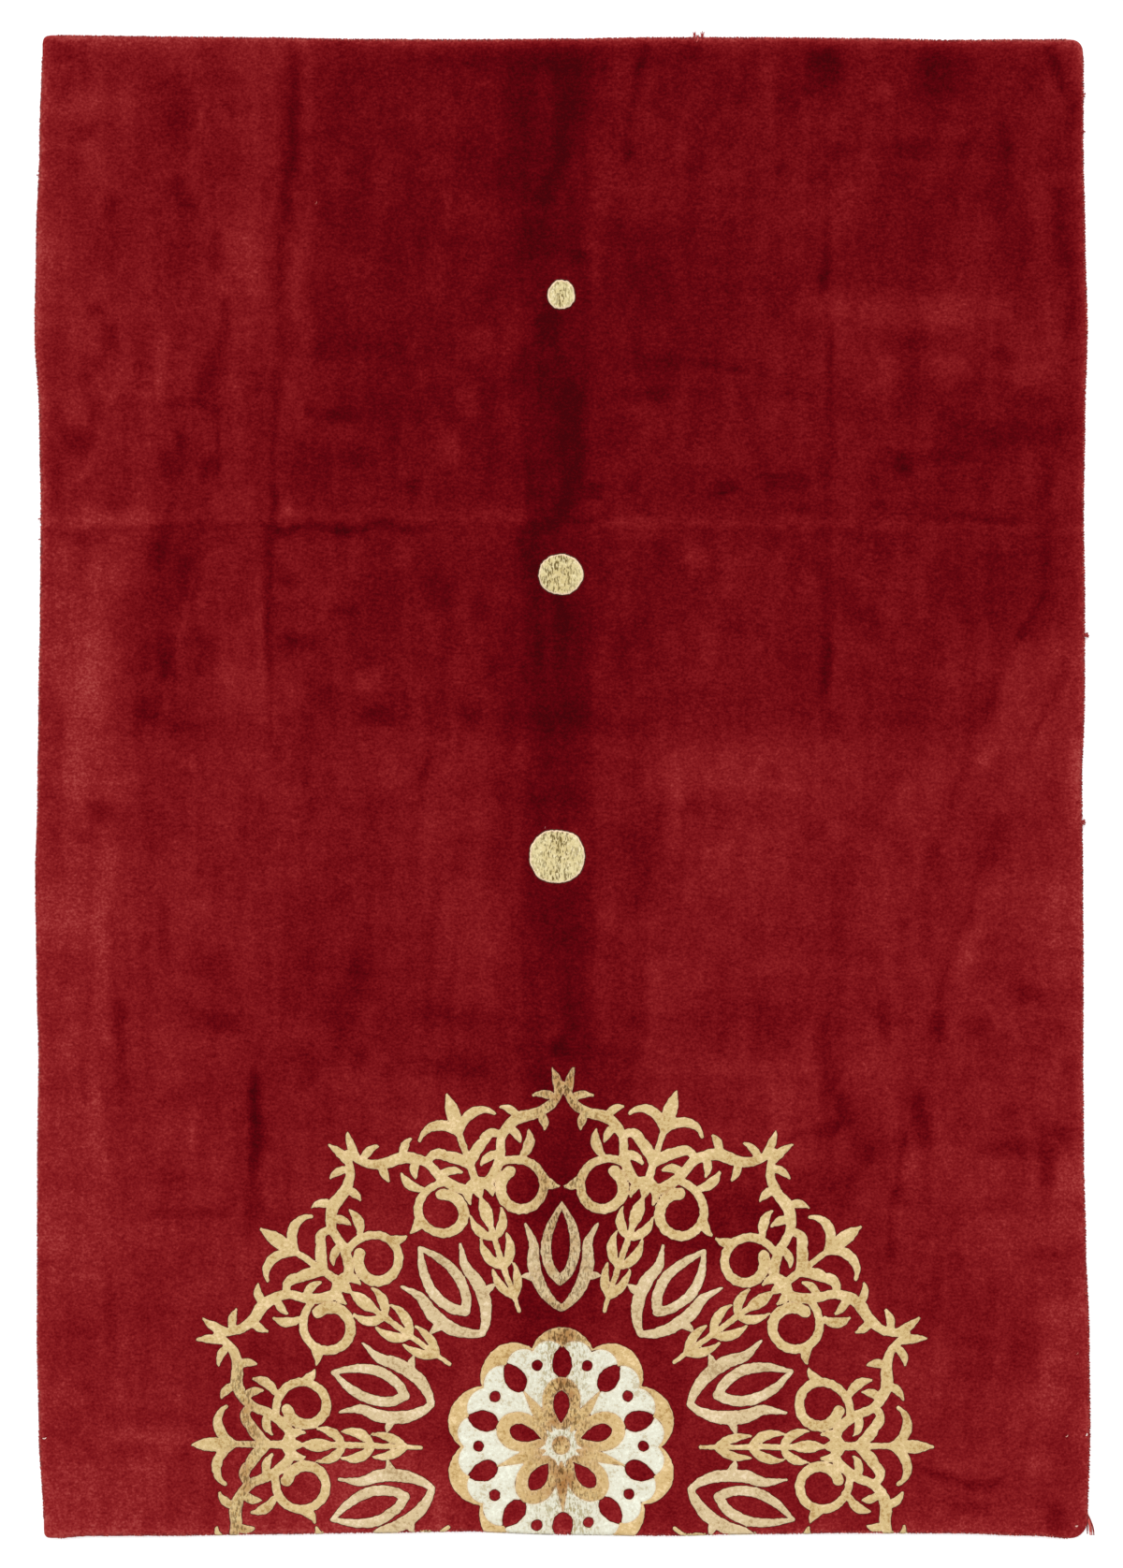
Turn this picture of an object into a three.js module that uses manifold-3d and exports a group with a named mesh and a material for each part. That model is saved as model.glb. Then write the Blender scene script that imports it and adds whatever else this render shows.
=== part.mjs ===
// A hand-knotted pile rug, 160 x 230 cm, lying flat with its pile up, and the loose ends of its side yarn.
// Millimetres, +Z up. The origin is in the middle of the rug on the surface it lies on.
// +Y points to the plain end. The end with the half medallion is at -Y.

import * as THREE from "three";
import { mergeVertices } from "three/addons/utils/BufferGeometryUtils.js";
import Module from "manifold-3d";

// Driving dimensions of the rug
const WIDTH = 1600;
const LENGTH = 2288;
const GROUND = 4; // the knotted ground under the pile
const PILE = 8; // the cut pile above it
const UNDER_ROUNDING = 1.5; // how far the ground's lower edge draws in
const PILE_LEAN = 7; // how far the tips of the outermost pile lie inside its foot
const LEAN_STEPS = 4; // rings from the foot of the pile to its tips
const EDGE_STEP = 18; // spacing of points along the sides and ends
const CORNER_STEPS = 6; // arcs' steps at each corner

// Rounding of the four corners, as the knotting and the side wrapping leave them
const CORNER_RADII = { plainLeft: 13, plainRight: 19, medallionLeft: 13, medallionRight: 22 };

// How far each side wanders from the true line x = -WIDTH / 2 or x = WIDTH / 2 at a height y
const SIDE_DRIFT = [
  { y: -1120, left: 5.5, right: 2.8 },
  { y: -980, left: -1.2, right: 5.7 },
  { y: -840, left: -3.6, right: 4.5 },
  { y: -700, left: -3.8, right: -0.5 },
  { y: -560, left: -3.7, right: -3.9 },
  { y: -420, left: -1.3, right: -5.0 },
  { y: -280, left: -4.7, right: -4.6 },
  { y: -140, left: -6.2, right: -5.3 },
  { y: 0, left: -3.1, right: -7.2 },
  { y: 140, left: -1.1, right: -2.8 },
  { y: 280, left: 0.9, right: -1.6 },
  { y: 420, left: 1.5, right: -3.8 },
  { y: 560, left: 0.3, right: -1.5 },
  { y: 700, left: -6.7, right: 1.1 },
  { y: 840, left: -5.0, right: -1.3 },
  { y: 980, left: 0.1, right: -4.5 },
  { y: 1120, left: 4.0, right: -3.0 },
];

// How far each end wanders from the true line y = -LENGTH / 2 or y = LENGTH / 2 at a place x
const END_DRIFT = [
  { x: -750, medallionEnd: -0.8, plainEnd: 5.2 },
  { x: -600, medallionEnd: 0.4, plainEnd: 3.6 },
  { x: -450, medallionEnd: 1.4, plainEnd: 1.7 },
  { x: -300, medallionEnd: 3.3, plainEnd: -0.9 },
  { x: -150, medallionEnd: 5.3, plainEnd: -1.5 },
  { x: 0, medallionEnd: 0.9, plainEnd: -0.3 },
  { x: 150, medallionEnd: -0.8, plainEnd: 2.1 },
  { x: 300, medallionEnd: 1.9, plainEnd: 2.0 },
  { x: 450, medallionEnd: 3.8, plainEnd: 0.6 },
  { x: 600, medallionEnd: 3.3, plainEnd: -2.3 },
  { x: 750, medallionEnd: -2.8, plainEnd: -0.5 },
];

// The last wrap of the side yarn at the corner at +X, -Y, and the loose ends that leave it
const YARN_GAP = 0.3; // between the wrap and the rug's side
const WRAP = { length: 9, width: 3, height: 4, endsAt: 1112 };
const STRAND_SIDES = 8;
const STRAND_STEPS = 8;
const STRAND_ROOT = 4; // how deep a strand starts inside the wrap
// out and down: the free tip's place from the wrap's middle. bow: how far the strand bellies out.
const STRANDS = [
  { out: 6.4, down: 24.5, bow: 1.5, radius: 1.0 },
  { out: 1.9, down: 26.5, bow: 2.3, radius: 0.95 },
  { out: -3.7, down: 27.5, bow: 3.0, radius: 0.9 },
];

const WOOL = { color: 0x7b161b, roughness: 0.95, metalness: 0 };
const SIDE_YARN = { color: 0xa3393b, roughness: 0.9, metalness: 0 };

const wasm = await Module();
wasm.setup();

// The value between two rows of a drift table, eased so that the edge has no kinks.
function drift(table, along, key, at) {
  const last = table[table.length - 1];
  if (at <= table[0][along]) return table[0][key];
  if (at >= last[along]) return last[key];
  const next = table.findIndex((row) => row[along] > at);
  const from = table[next - 1];
  const to = table[next];
  const share = (at - from[along]) / (to[along] - from[along]);
  const eased = THREE.MathUtils.smoothstep(share, 0, 1);
  return THREE.MathUtils.lerp(from[key], to[key], eased);
}

const leftEdge = (y) => -WIDTH / 2 + drift(SIDE_DRIFT, "y", "left", y);
const rightEdge = (y) => WIDTH / 2 + drift(SIDE_DRIFT, "y", "right", y);
const medallionEdge = (x) => -LENGTH / 2 + drift(END_DRIFT, "x", "medallionEnd", x);
const plainEdge = (x) => LENGTH / 2 + drift(END_DRIFT, "x", "plainEnd", x);

// Where the two edges at a corner meet.
function cornerPoint(side, end, signX, signY) {
  const x = side((signY * LENGTH) / 2);
  return new THREE.Vector2(x, end((signX * WIDTH) / 2));
}

// The arc that rounds a corner, from one edge to the next.
function cornerArc(corner, radius, startAngle, signX, signY) {
  const centre = new THREE.Vector2(corner.x - signX * radius, corner.y - signY * radius);
  const points = [];
  for (let i = 0; i <= CORNER_STEPS; i += 1) {
    const angle = startAngle + (i / CORNER_STEPS) * (Math.PI / 2);
    const offset = new THREE.Vector2(Math.cos(angle), Math.sin(angle)).multiplyScalar(radius);
    points.push(centre.clone().add(offset));
  }
  return points;
}

// Evenly spaced points between two places on an edge, without the two themselves.
function edgeRun(from, to, pointAt) {
  const count = Math.round(Math.abs(to - from) / EDGE_STEP);
  const points = [];
  for (let i = 1; i < count; i += 1) points.push(pointAt(THREE.MathUtils.lerp(from, to, i / count)));
  return points;
}

// The rug's outline in plan, anticlockwise from the corner at +X, -Y.
function rugOutline() {
  const corners = [
    cornerArc(
      cornerPoint(rightEdge, medallionEdge, 1, -1),
      CORNER_RADII.medallionRight, -Math.PI / 2, 1, -1,
    ),
    cornerArc(cornerPoint(rightEdge, plainEdge, 1, 1), CORNER_RADII.plainRight, 0, 1, 1),
    cornerArc(cornerPoint(leftEdge, plainEdge, -1, 1), CORNER_RADII.plainLeft, Math.PI / 2, -1, 1),
    cornerArc(
      cornerPoint(leftEdge, medallionEdge, -1, -1),
      CORNER_RADII.medallionLeft, Math.PI, -1, -1,
    ),
  ];
  const start = corners.map((arc) => arc[0]);
  const end = corners.map((arc) => arc[arc.length - 1]);
  return [
    ...corners[0],
    ...edgeRun(end[0].y, start[1].y, (y) => new THREE.Vector2(rightEdge(y), y)),
    ...corners[1],
    ...edgeRun(end[1].x, start[2].x, (x) => new THREE.Vector2(x, plainEdge(x))),
    ...corners[2],
    ...edgeRun(end[2].y, start[3].y, (y) => new THREE.Vector2(leftEdge(y), y)),
    ...corners[3],
    ...edgeRun(end[3].x, start[0].x, (x) => new THREE.Vector2(x, medallionEdge(x))),
  ];
}

// An outline drawn in by a distance, along the inward normal at each point.
function drawnIn(outline, distance) {
  const count = outline.length;
  return outline.map((point, i) => {
    const before = outline[(i + count - 1) % count];
    const after = outline[(i + 1) % count];
    const along = after.clone().sub(before).normalize();
    return new THREE.Vector2(point.x - along.y * distance, point.y + along.x * distance);
  });
}

// The rug's edge in section, from the underside up: a height, and how far in from the outline it lies.
function edgeSection() {
  const rings = [
    { z: 0, inset: UNDER_ROUNDING },
    { z: GROUND / 2, inset: 0 },
    { z: GROUND, inset: 0 },
  ];
  for (let i = 1; i <= LEAN_STEPS; i += 1) {
    const turn = (i / LEAN_STEPS) * (Math.PI / 2);
    rings.push({ z: GROUND + PILE * Math.sin(turn), inset: PILE_LEAN * (1 - Math.cos(turn)) });
  }
  return rings;
}

// A closed solid through rings of equal point count, each ring at its own height, with flat caps.
function stackedSolid(rings) {
  const count = rings[0].points.length;
  const positions = rings.flatMap((ring) => ring.points.flatMap((p) => [p.x, p.y, ring.z]));
  const index = [];
  for (let level = 0; level + 1 < rings.length; level += 1) {
    for (let i = 0; i < count; i += 1) {
      const a = level * count + i;
      const b = level * count + ((i + 1) % count);
      index.push(a, b, b + count, a, b + count, a + count);
    }
  }
  const top = (rings.length - 1) * count;
  const lowCap = THREE.ShapeUtils.triangulateShape(rings[0].points, []);
  const highCap = THREE.ShapeUtils.triangulateShape(rings[rings.length - 1].points, []);
  lowCap.forEach(([a, b, c]) => index.push(a, c, b));
  highCap.forEach(([a, b, c]) => index.push(top + a, top + b, top + c));
  const geometry = new THREE.BufferGeometry();
  geometry.setAttribute("position", new THREE.Float32BufferAttribute(positions, 3));
  geometry.setIndex(index);
  return mergeVertices(geometry);
}

function makeMesh(name, geometry, finish) {
  geometry.computeVertexNormals();
  const mesh = new THREE.Mesh(geometry, new THREE.MeshStandardMaterial(finish));
  mesh.name = name;
  return mesh;
}

// The knotted ground and its pile are one cloth.
function makeRug() {
  const outline = rugOutline();
  const rings = edgeSection().map(({ z, inset }) => ({ z, points: drawnIn(outline, inset) }));
  return makeMesh("rug", stackedSolid(rings), WOOL);
}

// A mesh as a solid that can be joined to others. Only the vertices' places are kept.
function solidFrom(geometry) {
  const bare = geometry.clone();
  bare.deleteAttribute("normal");
  bare.deleteAttribute("uv");
  const merged = mergeVertices(bare);
  return new wasm.Manifold(
    new wasm.Mesh({
      numProp: 3,
      vertProperties: merged.getAttribute("position").array,
      triVerts: new Uint32Array(merged.index.array),
    }),
  );
}

function geometryFrom(solid) {
  const mesh = solid.getMesh();
  const geometry = new THREE.BufferGeometry();
  geometry.setAttribute("position", new THREE.BufferAttribute(mesh.vertProperties, 3));
  geometry.setIndex(new THREE.BufferAttribute(mesh.triVerts, 1));
  return geometry;
}

// One strand: a round yarn from inside the wrap to its free tip, lying on the floor.
function strandGeometry(root, { out, down, bow, radius }) {
  const start = new THREE.Vector3(root.x, root.y, radius);
  const tip = new THREE.Vector3(root.x + out, root.y - down, radius);
  const belly = start.clone().lerp(tip, 0.5);
  belly.x += bow;
  const section = new THREE.Shape();
  for (let i = 0; i < STRAND_SIDES; i += 1) {
    const angle = ((i + 0.5) / STRAND_SIDES) * 2 * Math.PI;
    const x = radius * Math.cos(angle);
    const y = radius * Math.sin(angle);
    if (i === 0) section.moveTo(x, y);
    else section.lineTo(x, y);
  }
  section.closePath();
  return new THREE.ExtrudeGeometry(section, {
    steps: STRAND_STEPS,
    extrudePath: new THREE.QuadraticBezierCurve3(start, belly, tip),
  });
}

// The wrap hugs the rug's side; the strands are joined to it.
function makeYarnEnds() {
  const side = rightEdge(-WRAP.endsAt);
  const middle = new THREE.Vector3(
    side + YARN_GAP + WRAP.width / 2,
    -WRAP.endsAt - WRAP.length / 2,
    WRAP.height / 2,
  );
  const wrap = new THREE.BoxGeometry(WRAP.width, WRAP.length, WRAP.height);
  wrap.translate(middle.x, middle.y, middle.z);
  const root = new THREE.Vector3(middle.x, middle.y - WRAP.length / 2 + STRAND_ROOT, 0);
  const yarn = STRANDS.reduce(
    (solid, strand) => solid.add(solidFrom(strandGeometry(root, strand))),
    solidFrom(wrap),
  );
  return makeMesh("side_yarn_ends", geometryFrom(yarn), SIDE_YARN);
}

const part = new THREE.Group();
part.name = "handwoven_rug";
part.add(makeRug(), makeYarnEnds());

export default part;
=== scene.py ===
"""Looks of a hand-knotted wool rug: cut pile, knotted back, carved motifs and loose side yarn.

The rug lies flat. Seen from above, +X is right, +Y runs towards the plain end and the half medallion is at
the -Y end. Sizes are in millimetres and become metres only in a mesh, a light or the camera.
"""

from __future__ import annotations

import logging
import math
from dataclasses import dataclass
from enum import Enum
from typing import Iterable, Sequence

import bpy
import numpy as np
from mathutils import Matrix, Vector


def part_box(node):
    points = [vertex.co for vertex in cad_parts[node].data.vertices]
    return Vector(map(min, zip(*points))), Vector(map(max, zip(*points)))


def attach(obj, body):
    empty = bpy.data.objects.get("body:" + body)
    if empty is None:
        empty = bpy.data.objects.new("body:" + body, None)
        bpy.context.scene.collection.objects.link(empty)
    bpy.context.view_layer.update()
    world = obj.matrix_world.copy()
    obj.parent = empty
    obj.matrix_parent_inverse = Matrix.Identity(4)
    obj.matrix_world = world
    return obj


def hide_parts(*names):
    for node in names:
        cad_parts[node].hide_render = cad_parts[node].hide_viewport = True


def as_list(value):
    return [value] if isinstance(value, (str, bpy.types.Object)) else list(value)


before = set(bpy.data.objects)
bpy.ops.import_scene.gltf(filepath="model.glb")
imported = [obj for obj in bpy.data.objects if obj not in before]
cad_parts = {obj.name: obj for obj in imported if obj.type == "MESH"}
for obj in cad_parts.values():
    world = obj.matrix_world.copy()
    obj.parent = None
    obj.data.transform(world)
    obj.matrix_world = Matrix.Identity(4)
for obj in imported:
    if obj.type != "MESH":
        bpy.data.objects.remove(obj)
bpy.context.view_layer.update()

log = logging.getLogger("rug")

MM = 0.001
BODY = "root"

# The cloth's section. The carved motifs stand a little above the red field.
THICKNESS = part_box("rug")[1].z / MM
GROUND_TOP = 4.0
FIELD_TOP = THICKNESS - 1.0
MOTIF_STEP = 1.7
PILE_LEAN = 4.5
BACK_LIFT = 0.3

# One knot of the weave: rows lie across the rug.
KNOT_ROW = 4.2
KNOT_WIDTH = 3.9

# Usual for wool and silk.
WOOL_IOR = 1.55

Array = np.ndarray
Tree = bpy.types.NodeTree
Socket = bpy.types.NodeSocket
Piece = bpy.types.Object
Triples = tuple[tuple[float, float, float], ...]


class Slot(Enum):
    """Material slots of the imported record."""

    FIELD = "field_pile"
    GOLD = "gold_pile"
    SAGE = "sage_pile"
    CREAM = "cream_pile"
    TAN = "tan_pile"
    GROUND = "cotton_ground"
    SIDE_YARN = "side_yarn"


def linear(colour: str) -> tuple[float, float, float, float]:
    """Turns an sRGB hex colour to linear light.

    Args:
        colour: Six hex digits after a hash sign.

    Returns:
        Red, green, blue and alpha, from 0 to 1.
    """
    parts = [int(colour[k : k + 2], 16) / 255 for k in (1, 3, 5)]
    light = [p / 12.92 if p <= 0.04045 else ((p + 0.055) / 1.055) ** 2.4 for p in parts]
    return (light[0], light[1], light[2], 1.0)


def eased(t: Array) -> Array:
    """Gives the smooth step of t, held between 0 and 1."""
    held = np.clip(t, 0.0, 1.0)
    return held * held * (3 - 2 * held)


def drifted(rows: Sequence[tuple[float, float, float]], column: int, at: Array) -> Array:
    """Reads a column of a drift table, eased from row to row.

    Args:
        rows: Table with the station in its first column, in rising order.
        column: Column to read.
        at: Stations to read it at.

    Returns:
        The drift at each station.
    """
    table = np.asarray(rows)
    stations = table[:, 0]
    values = table[:, column]
    k = np.clip(np.searchsorted(stations, at) - 1, 0, len(stations) - 2)
    t = eased((at - stations[k]) / (stations[k + 1] - stations[k]))
    return values[k] + (values[k + 1] - values[k]) * t


@dataclass(frozen=True)
class Grain:
    """Smooth random ups and downs from -1 to 1, the same on every run.

    Args:
        seed: Start of the random draws.
        across: Size of one patch along x, in mm.
        along: Size of one patch along y, in mm.
    """

    seed: int
    across: float
    along: float

    REACH = 1900.0

    def __call__(self, x: Array, y: Array) -> Array:
        """Gives the grain at points.

        Args:
            x: Places across the rug, in mm.
            y: Places along the rug, in mm.

        Returns:
            A value from -1 to 1 at each point.
        """
        columns = int(2 * self.REACH / self.across) + 3
        rows = int(2 * self.REACH / self.along) + 3
        table = np.random.default_rng(self.seed).uniform(-1, 1, (rows, columns))
        u = (np.asarray(x, float) + self.REACH) / self.across
        v = (np.asarray(y, float) + self.REACH) / self.along
        i = u.astype(int)
        j = v.astype(int)
        s = eased(u - i)
        t = eased(v - j)
        low = table[j, i] + (table[j, i + 1] - table[j, i]) * s
        high = table[j + 1, i] + (table[j + 1, i + 1] - table[j + 1, i]) * s
        return low + (high - low) * t


@dataclass(frozen=True)
class Plan:
    """Points in rows and columns that cover the rug and follow its edges.

    Args:
        x: Places across the rug, rows by columns, in mm.
        y: Places along the rug, in mm.
        inset: Distance in from the edge, in mm.
    """

    x: Array
    y: Array
    inset: Array

    def rim(self) -> Array:
        """Gives the indices of the outermost points, counter-clockwise.

        Returns:
            Indices into the points, row by row.
        """
        rows, columns = self.x.shape
        index = np.arange(rows * columns).reshape(rows, columns)
        return np.concatenate([index[0, :-1], index[:-1, -1], index[-1, :0:-1], index[:0:-1, 0]])

    def quads(self) -> Array:
        """Gives the four corners of each cell, counter-clockwise from above.

        Returns:
            Indices of the corners, n by 4.
        """
        rows, columns = self.x.shape
        index = np.arange(rows * columns).reshape(rows, columns)
        corners = [index[:-1, :-1], index[:-1, 1:], index[1:, 1:], index[1:, :-1]]
        return np.stack([c.ravel() for c in corners], 1)


@dataclass(frozen=True)
class Outline:
    """The rug's outline: sides and ends that drift by a few millimetres, and round corners.

    Args:
        width: Nominal width, in mm.
        length: Nominal length, in mm.
        side_drift: Rows of y, drift of the left side and drift of the right side.
        end_drift: Rows of x, drift of the medallion end and drift of the plain end.
        corners: Radii at plain left, plain right, medallion left and medallion right.
    """

    width: float = 1600.0
    length: float = 2288.0
    side_drift: Triples = (
        (-1120, 8.2, 1.5), (-980, 1.2, 5.1), (-840, -1.5, 3.8), (-700, -1.3, -1.5), (-560, -0.9, -4.8),
        (-420, 0.8, -5.6), (-280, -2.2, -5.4), (-140, -4.1, -6.2), (0, -0.6, -7.5), (140, 1.0, -3.4),
        (280, 3.4, -3.1), (420, 4.4, -4.8), (560, 2.0, -2.9), (700, -5.1, 0.9), (840, -2.7, -2.6),
        (980, 2.2, -5.4), (1120, 6.1, -5.0),
    )
    end_drift: Triples = (
        (-785, -3.2, 3.8), (-720, 0.9, 2.4), (-600, 1.3, 1.0), (-450, 3.4, -0.5), (-300, 5.5, -2.9),
        (-150, 7.8, -3.5), (0, 3.1, -2.3), (150, 1.4, -0.2), (300, 3.9, -0.3), (450, 5.4, -1.5),
        (600, 4.7, -4.2), (720, 1.2, -3.4), (785, -4.0, -2.7),
    )
    corners: tuple[float, float, float, float] = (12.0, 19.0, 10.0, 28.0)

    def left(self, y: Array) -> Array:
        """Gives the left side's x at each y."""
        return -self.width / 2 + drifted(self.side_drift, 1, y)

    def right(self, y: Array) -> Array:
        """Gives the right side's x at each y."""
        return self.width / 2 + drifted(self.side_drift, 2, y)

    def lower(self, x: Array) -> Array:
        """Gives the medallion end's y at each x."""
        return -self.length / 2 + drifted(self.end_drift, 1, x)

    def upper(self, x: Array) -> Array:
        """Gives the plain end's y at each x."""
        return self.length / 2 + drifted(self.end_drift, 2, x)

    def inset(self, x: Array, y: Array) -> Array:
        """Measures how far in from the edge points lie.

        Args:
            x: Places across the rug, in mm.
            y: Places along the rug, in mm.

        Returns:
            The distance in mm, negative outside the rug.
        """
        from_left = x - self.left(y)
        from_right = self.right(y) - x
        from_lower = y - self.lower(x)
        from_upper = self.upper(x) - y
        inset = np.minimum.reduce([from_left, from_right, from_lower, from_upper])
        meetings = ((side, end) for end in (from_upper, from_lower) for side in (from_left, from_right))
        for radius, (side, end) in zip(self.corners, meetings):
            in_corner = (side < radius) & (end < radius)
            rounded = radius - np.hypot(radius - side, radius - end)
            inset = np.where(in_corner, rounded, inset)
        return inset

    def plan(
        self, cell: float, rim_lines: Sequence[float], close: Sequence[tuple[float, float]] = ()
    ) -> Plan:
        """Lays rows and columns of points over the rug.

        Args:
            cell: Spacing of the inner points, in mm.
            rim_lines: Distances in from the edge of the close lines along it, from 0 up.
            close: Stretches of x, from and to, where the columns stand at half the spacing.

        Returns:
            The points, with the corner squares bent round to quarter discs.
        """
        across = self.lines(self.width, cell, rim_lines, close)
        along = self.lines(self.length, cell, rim_lines)
        side, end = np.meshgrid(across, along)
        inset = np.minimum.reduce([side, self.width - side, end, self.length - end])
        flips = ((False, True), (True, True), (False, False), (True, False))
        for radius, (flip_side, flip_end) in zip(self.corners, flips):
            p = self.width - side if flip_side else side
            q = self.length - end if flip_end else end
            in_corner = (p < radius) & (q < radius)
            u = radius - p[in_corner]
            v = radius - q[in_corner]
            shrink = np.maximum(u, v) / np.hypot(u, v)
            p[in_corner] = radius - u * shrink
            q[in_corner] = radius - v * shrink
            side = self.width - p if flip_side else p
            end = self.length - q if flip_end else q
        x = side - self.width / 2
        y = end - self.length / 2
        share_across = side / self.width
        share_along = end / self.length
        drift_x = (1 - share_across) * drifted(self.side_drift, 1, y)
        drift_x += share_across * drifted(self.side_drift, 2, y)
        drift_y = (1 - share_along) * drifted(self.end_drift, 1, x)
        drift_y += share_along * drifted(self.end_drift, 2, x)
        return Plan(x + drift_x, y + drift_y, inset)

    @staticmethod
    def lines(
        size: float, cell: float, rim_lines: Sequence[float], close: Sequence[tuple[float, float]] = ()
    ) -> Array:
        """Gives the places of the lines across one direction, close along both edges.

        Args:
            size: Width or length, in mm.
            cell: Spacing of the inner lines, in mm.
            rim_lines: Distances in from the edge of the close lines.
            close: Stretches, from and to, where the lines stand at half the spacing.

        Returns:
            Places of the lines, from 0 to the size.
        """
        last = rim_lines[-1]
        probe = np.linspace(last, size - last, 4001)
        density = np.ones(len(probe))
        for low, high in close:
            density[(probe - size / 2 > low) & (probe - size / 2 < high)] = 2.0
        share = np.concatenate([[0], np.cumsum(density[1:] * np.diff(probe))])
        count = max(1, round(share[-1] / cell))
        inner = np.interp(np.linspace(0, share[-1], count + 1), share, probe)
        near = np.asarray(rim_lines[:-1], float)
        return np.concatenate([near, inner, size - near[::-1]])

    def walk(self, step: float) -> tuple[Array, Array]:
        """Steps along the straight stretches of the edge.

        Args:
            step: Length of a step, in mm.

        Returns:
            Points on the edge and the outward direction at each, both n by 2.
        """
        clear = max(self.corners) + 2
        ys = np.arange(-self.length / 2 + clear, self.length / 2 - clear, step)
        xs = np.arange(-self.width / 2 + clear, self.width / 2 - clear, step)
        stretches = (
            (self.left(ys), ys, (-1.0, 0.0)),
            (self.right(ys), ys, (1.0, 0.0)),
            (xs, self.lower(xs), (0.0, -1.0)),
            (xs, self.upper(xs), (0.0, 1.0)),
        )
        places = [np.stack([x, y], 1) for x, y, _ in stretches]
        ways = [np.tile(way, (len(x), 1)) for x, _, way in stretches]
        return np.concatenate(places), np.concatenate(ways)


def rolled_over(inset: Array, top: float) -> Array:
    """Gives the height of pile that leans out over the edge in a quarter round.

    Args:
        inset: Distance in from the edge, in mm.
        top: Height of the pile well inside, in mm.

    Returns:
        Height above the floor, in mm.
    """
    run = 1 - np.clip(inset / PILE_LEAN, 0.0, 1.0)
    return GROUND_TOP + (top - GROUND_TOP) * np.sqrt(1 - run * run)


@dataclass(frozen=True)
class Patch:
    """A stretch of pile whose lean is painted as light or shade, lighter or darker than the rest.

    Args:
        x: Middle across the rug, in mm.
        y: Middle along the rug, in mm.
        across: Half width, in mm.
        along: Half length, in mm.
        tone: How much painted light it gets, in hundredths, or painted shade if negative.
        lean: Degrees from straight up the rug, clockwise.
        edge: How sharp its sides are: 2 is soft and 12 is nearly straight-sided.
    """

    x: float
    y: float
    across: float
    along: float
    tone: float
    lean: float = 0.0
    edge: float = 3.6

    def at(self, x: Array, y: Array) -> Array:
        """Gives the patch's share of the painted light and shade at points.

        Args:
            x: Places across the rug, in mm.
            y: Places along the rug, in mm.

        Returns:
            Tone to add at each point.
        """
        turn = math.radians(self.lean)
        u = (x - self.x) * math.cos(turn) - (y - self.y) * math.sin(turn)
        v = (x - self.x) * math.sin(turn) + (y - self.y) * math.cos(turn)
        away = (np.abs(u) / self.across) ** self.edge + (np.abs(v) / self.along) ** self.edge
        return self.tone / 100 * np.exp(-0.75 * away)


@dataclass(frozen=True)
class Streak:
    """A narrow line of brushed or folded pile, painted as light or shade, led from station to station.

    Args:
        stations: Rows of x, y, half width in mm and tone in hundredths, painted shade if negative, painted
            light if not.
        rise: Height of the fold that it follows, in mm, negative for a trough.
    """

    stations: tuple[tuple[float, float, float, float], ...]
    rise: float = 0.0

    def near(self, x: Array, y: Array) -> tuple[Array, Array]:
        """Finds the nearest place on the line.

        Args:
            x: Places across the rug, in mm.
            y: Places along the rug, in mm.

        Returns:
            Distance from the line in half widths, and the line's tone there.
        """
        least = np.full(x.shape, 1e3)
        tone = np.zeros(x.shape)
        for (ax, ay, wide, shade), (bx, by, wide_end, shade_end) in zip(self.stations, self.stations[1:]):
            dx, dy = bx - ax, by - ay
            t = np.clip(((x - ax) * dx + (y - ay) * dy) / (dx * dx + dy * dy), 0.0, 1.0)
            away = np.hypot(x - ax - t * dx, y - ay - t * dy) / (wide + (wide_end - wide) * t)
            closer = away < least
            least = np.where(closer, away, least)
            tone = np.where(closer, shade + (shade_end - shade) * t, tone)
        return least, tone / 100

    def at(self, x: Array, y: Array) -> Array:
        """Gives the streak's share of the painted light and shade at points.

        Args:
            x: Places across the rug, in mm.
            y: Places along the rug, in mm.

        Returns:
            Tone to add at each point.
        """
        away, tone = self.near(x, y)
        # The brushing is broken up along the line.
        broken = 1.05 + 0.45 * Grain(15, 13, 16)(x, y) + 0.25 * Grain(16, 40, 34)(x, y)
        return tone * broken * np.exp(-0.7 * np.minimum(away, 9) ** 2.3)

    def height(self, x: Array, y: Array) -> Array:
        """Gives the height of the fold at points.

        Args:
            x: Places across the rug, in mm.
            y: Places along the rug, in mm.

        Returns:
            Height in mm at each point.
        """
        away, tone = self.near(x, y)
        strength = np.minimum(np.abs(tone) / 0.2, 1.0)
        return self.rise * strength * np.exp(-0.5 * np.minimum(away, 9) ** 2)
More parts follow.
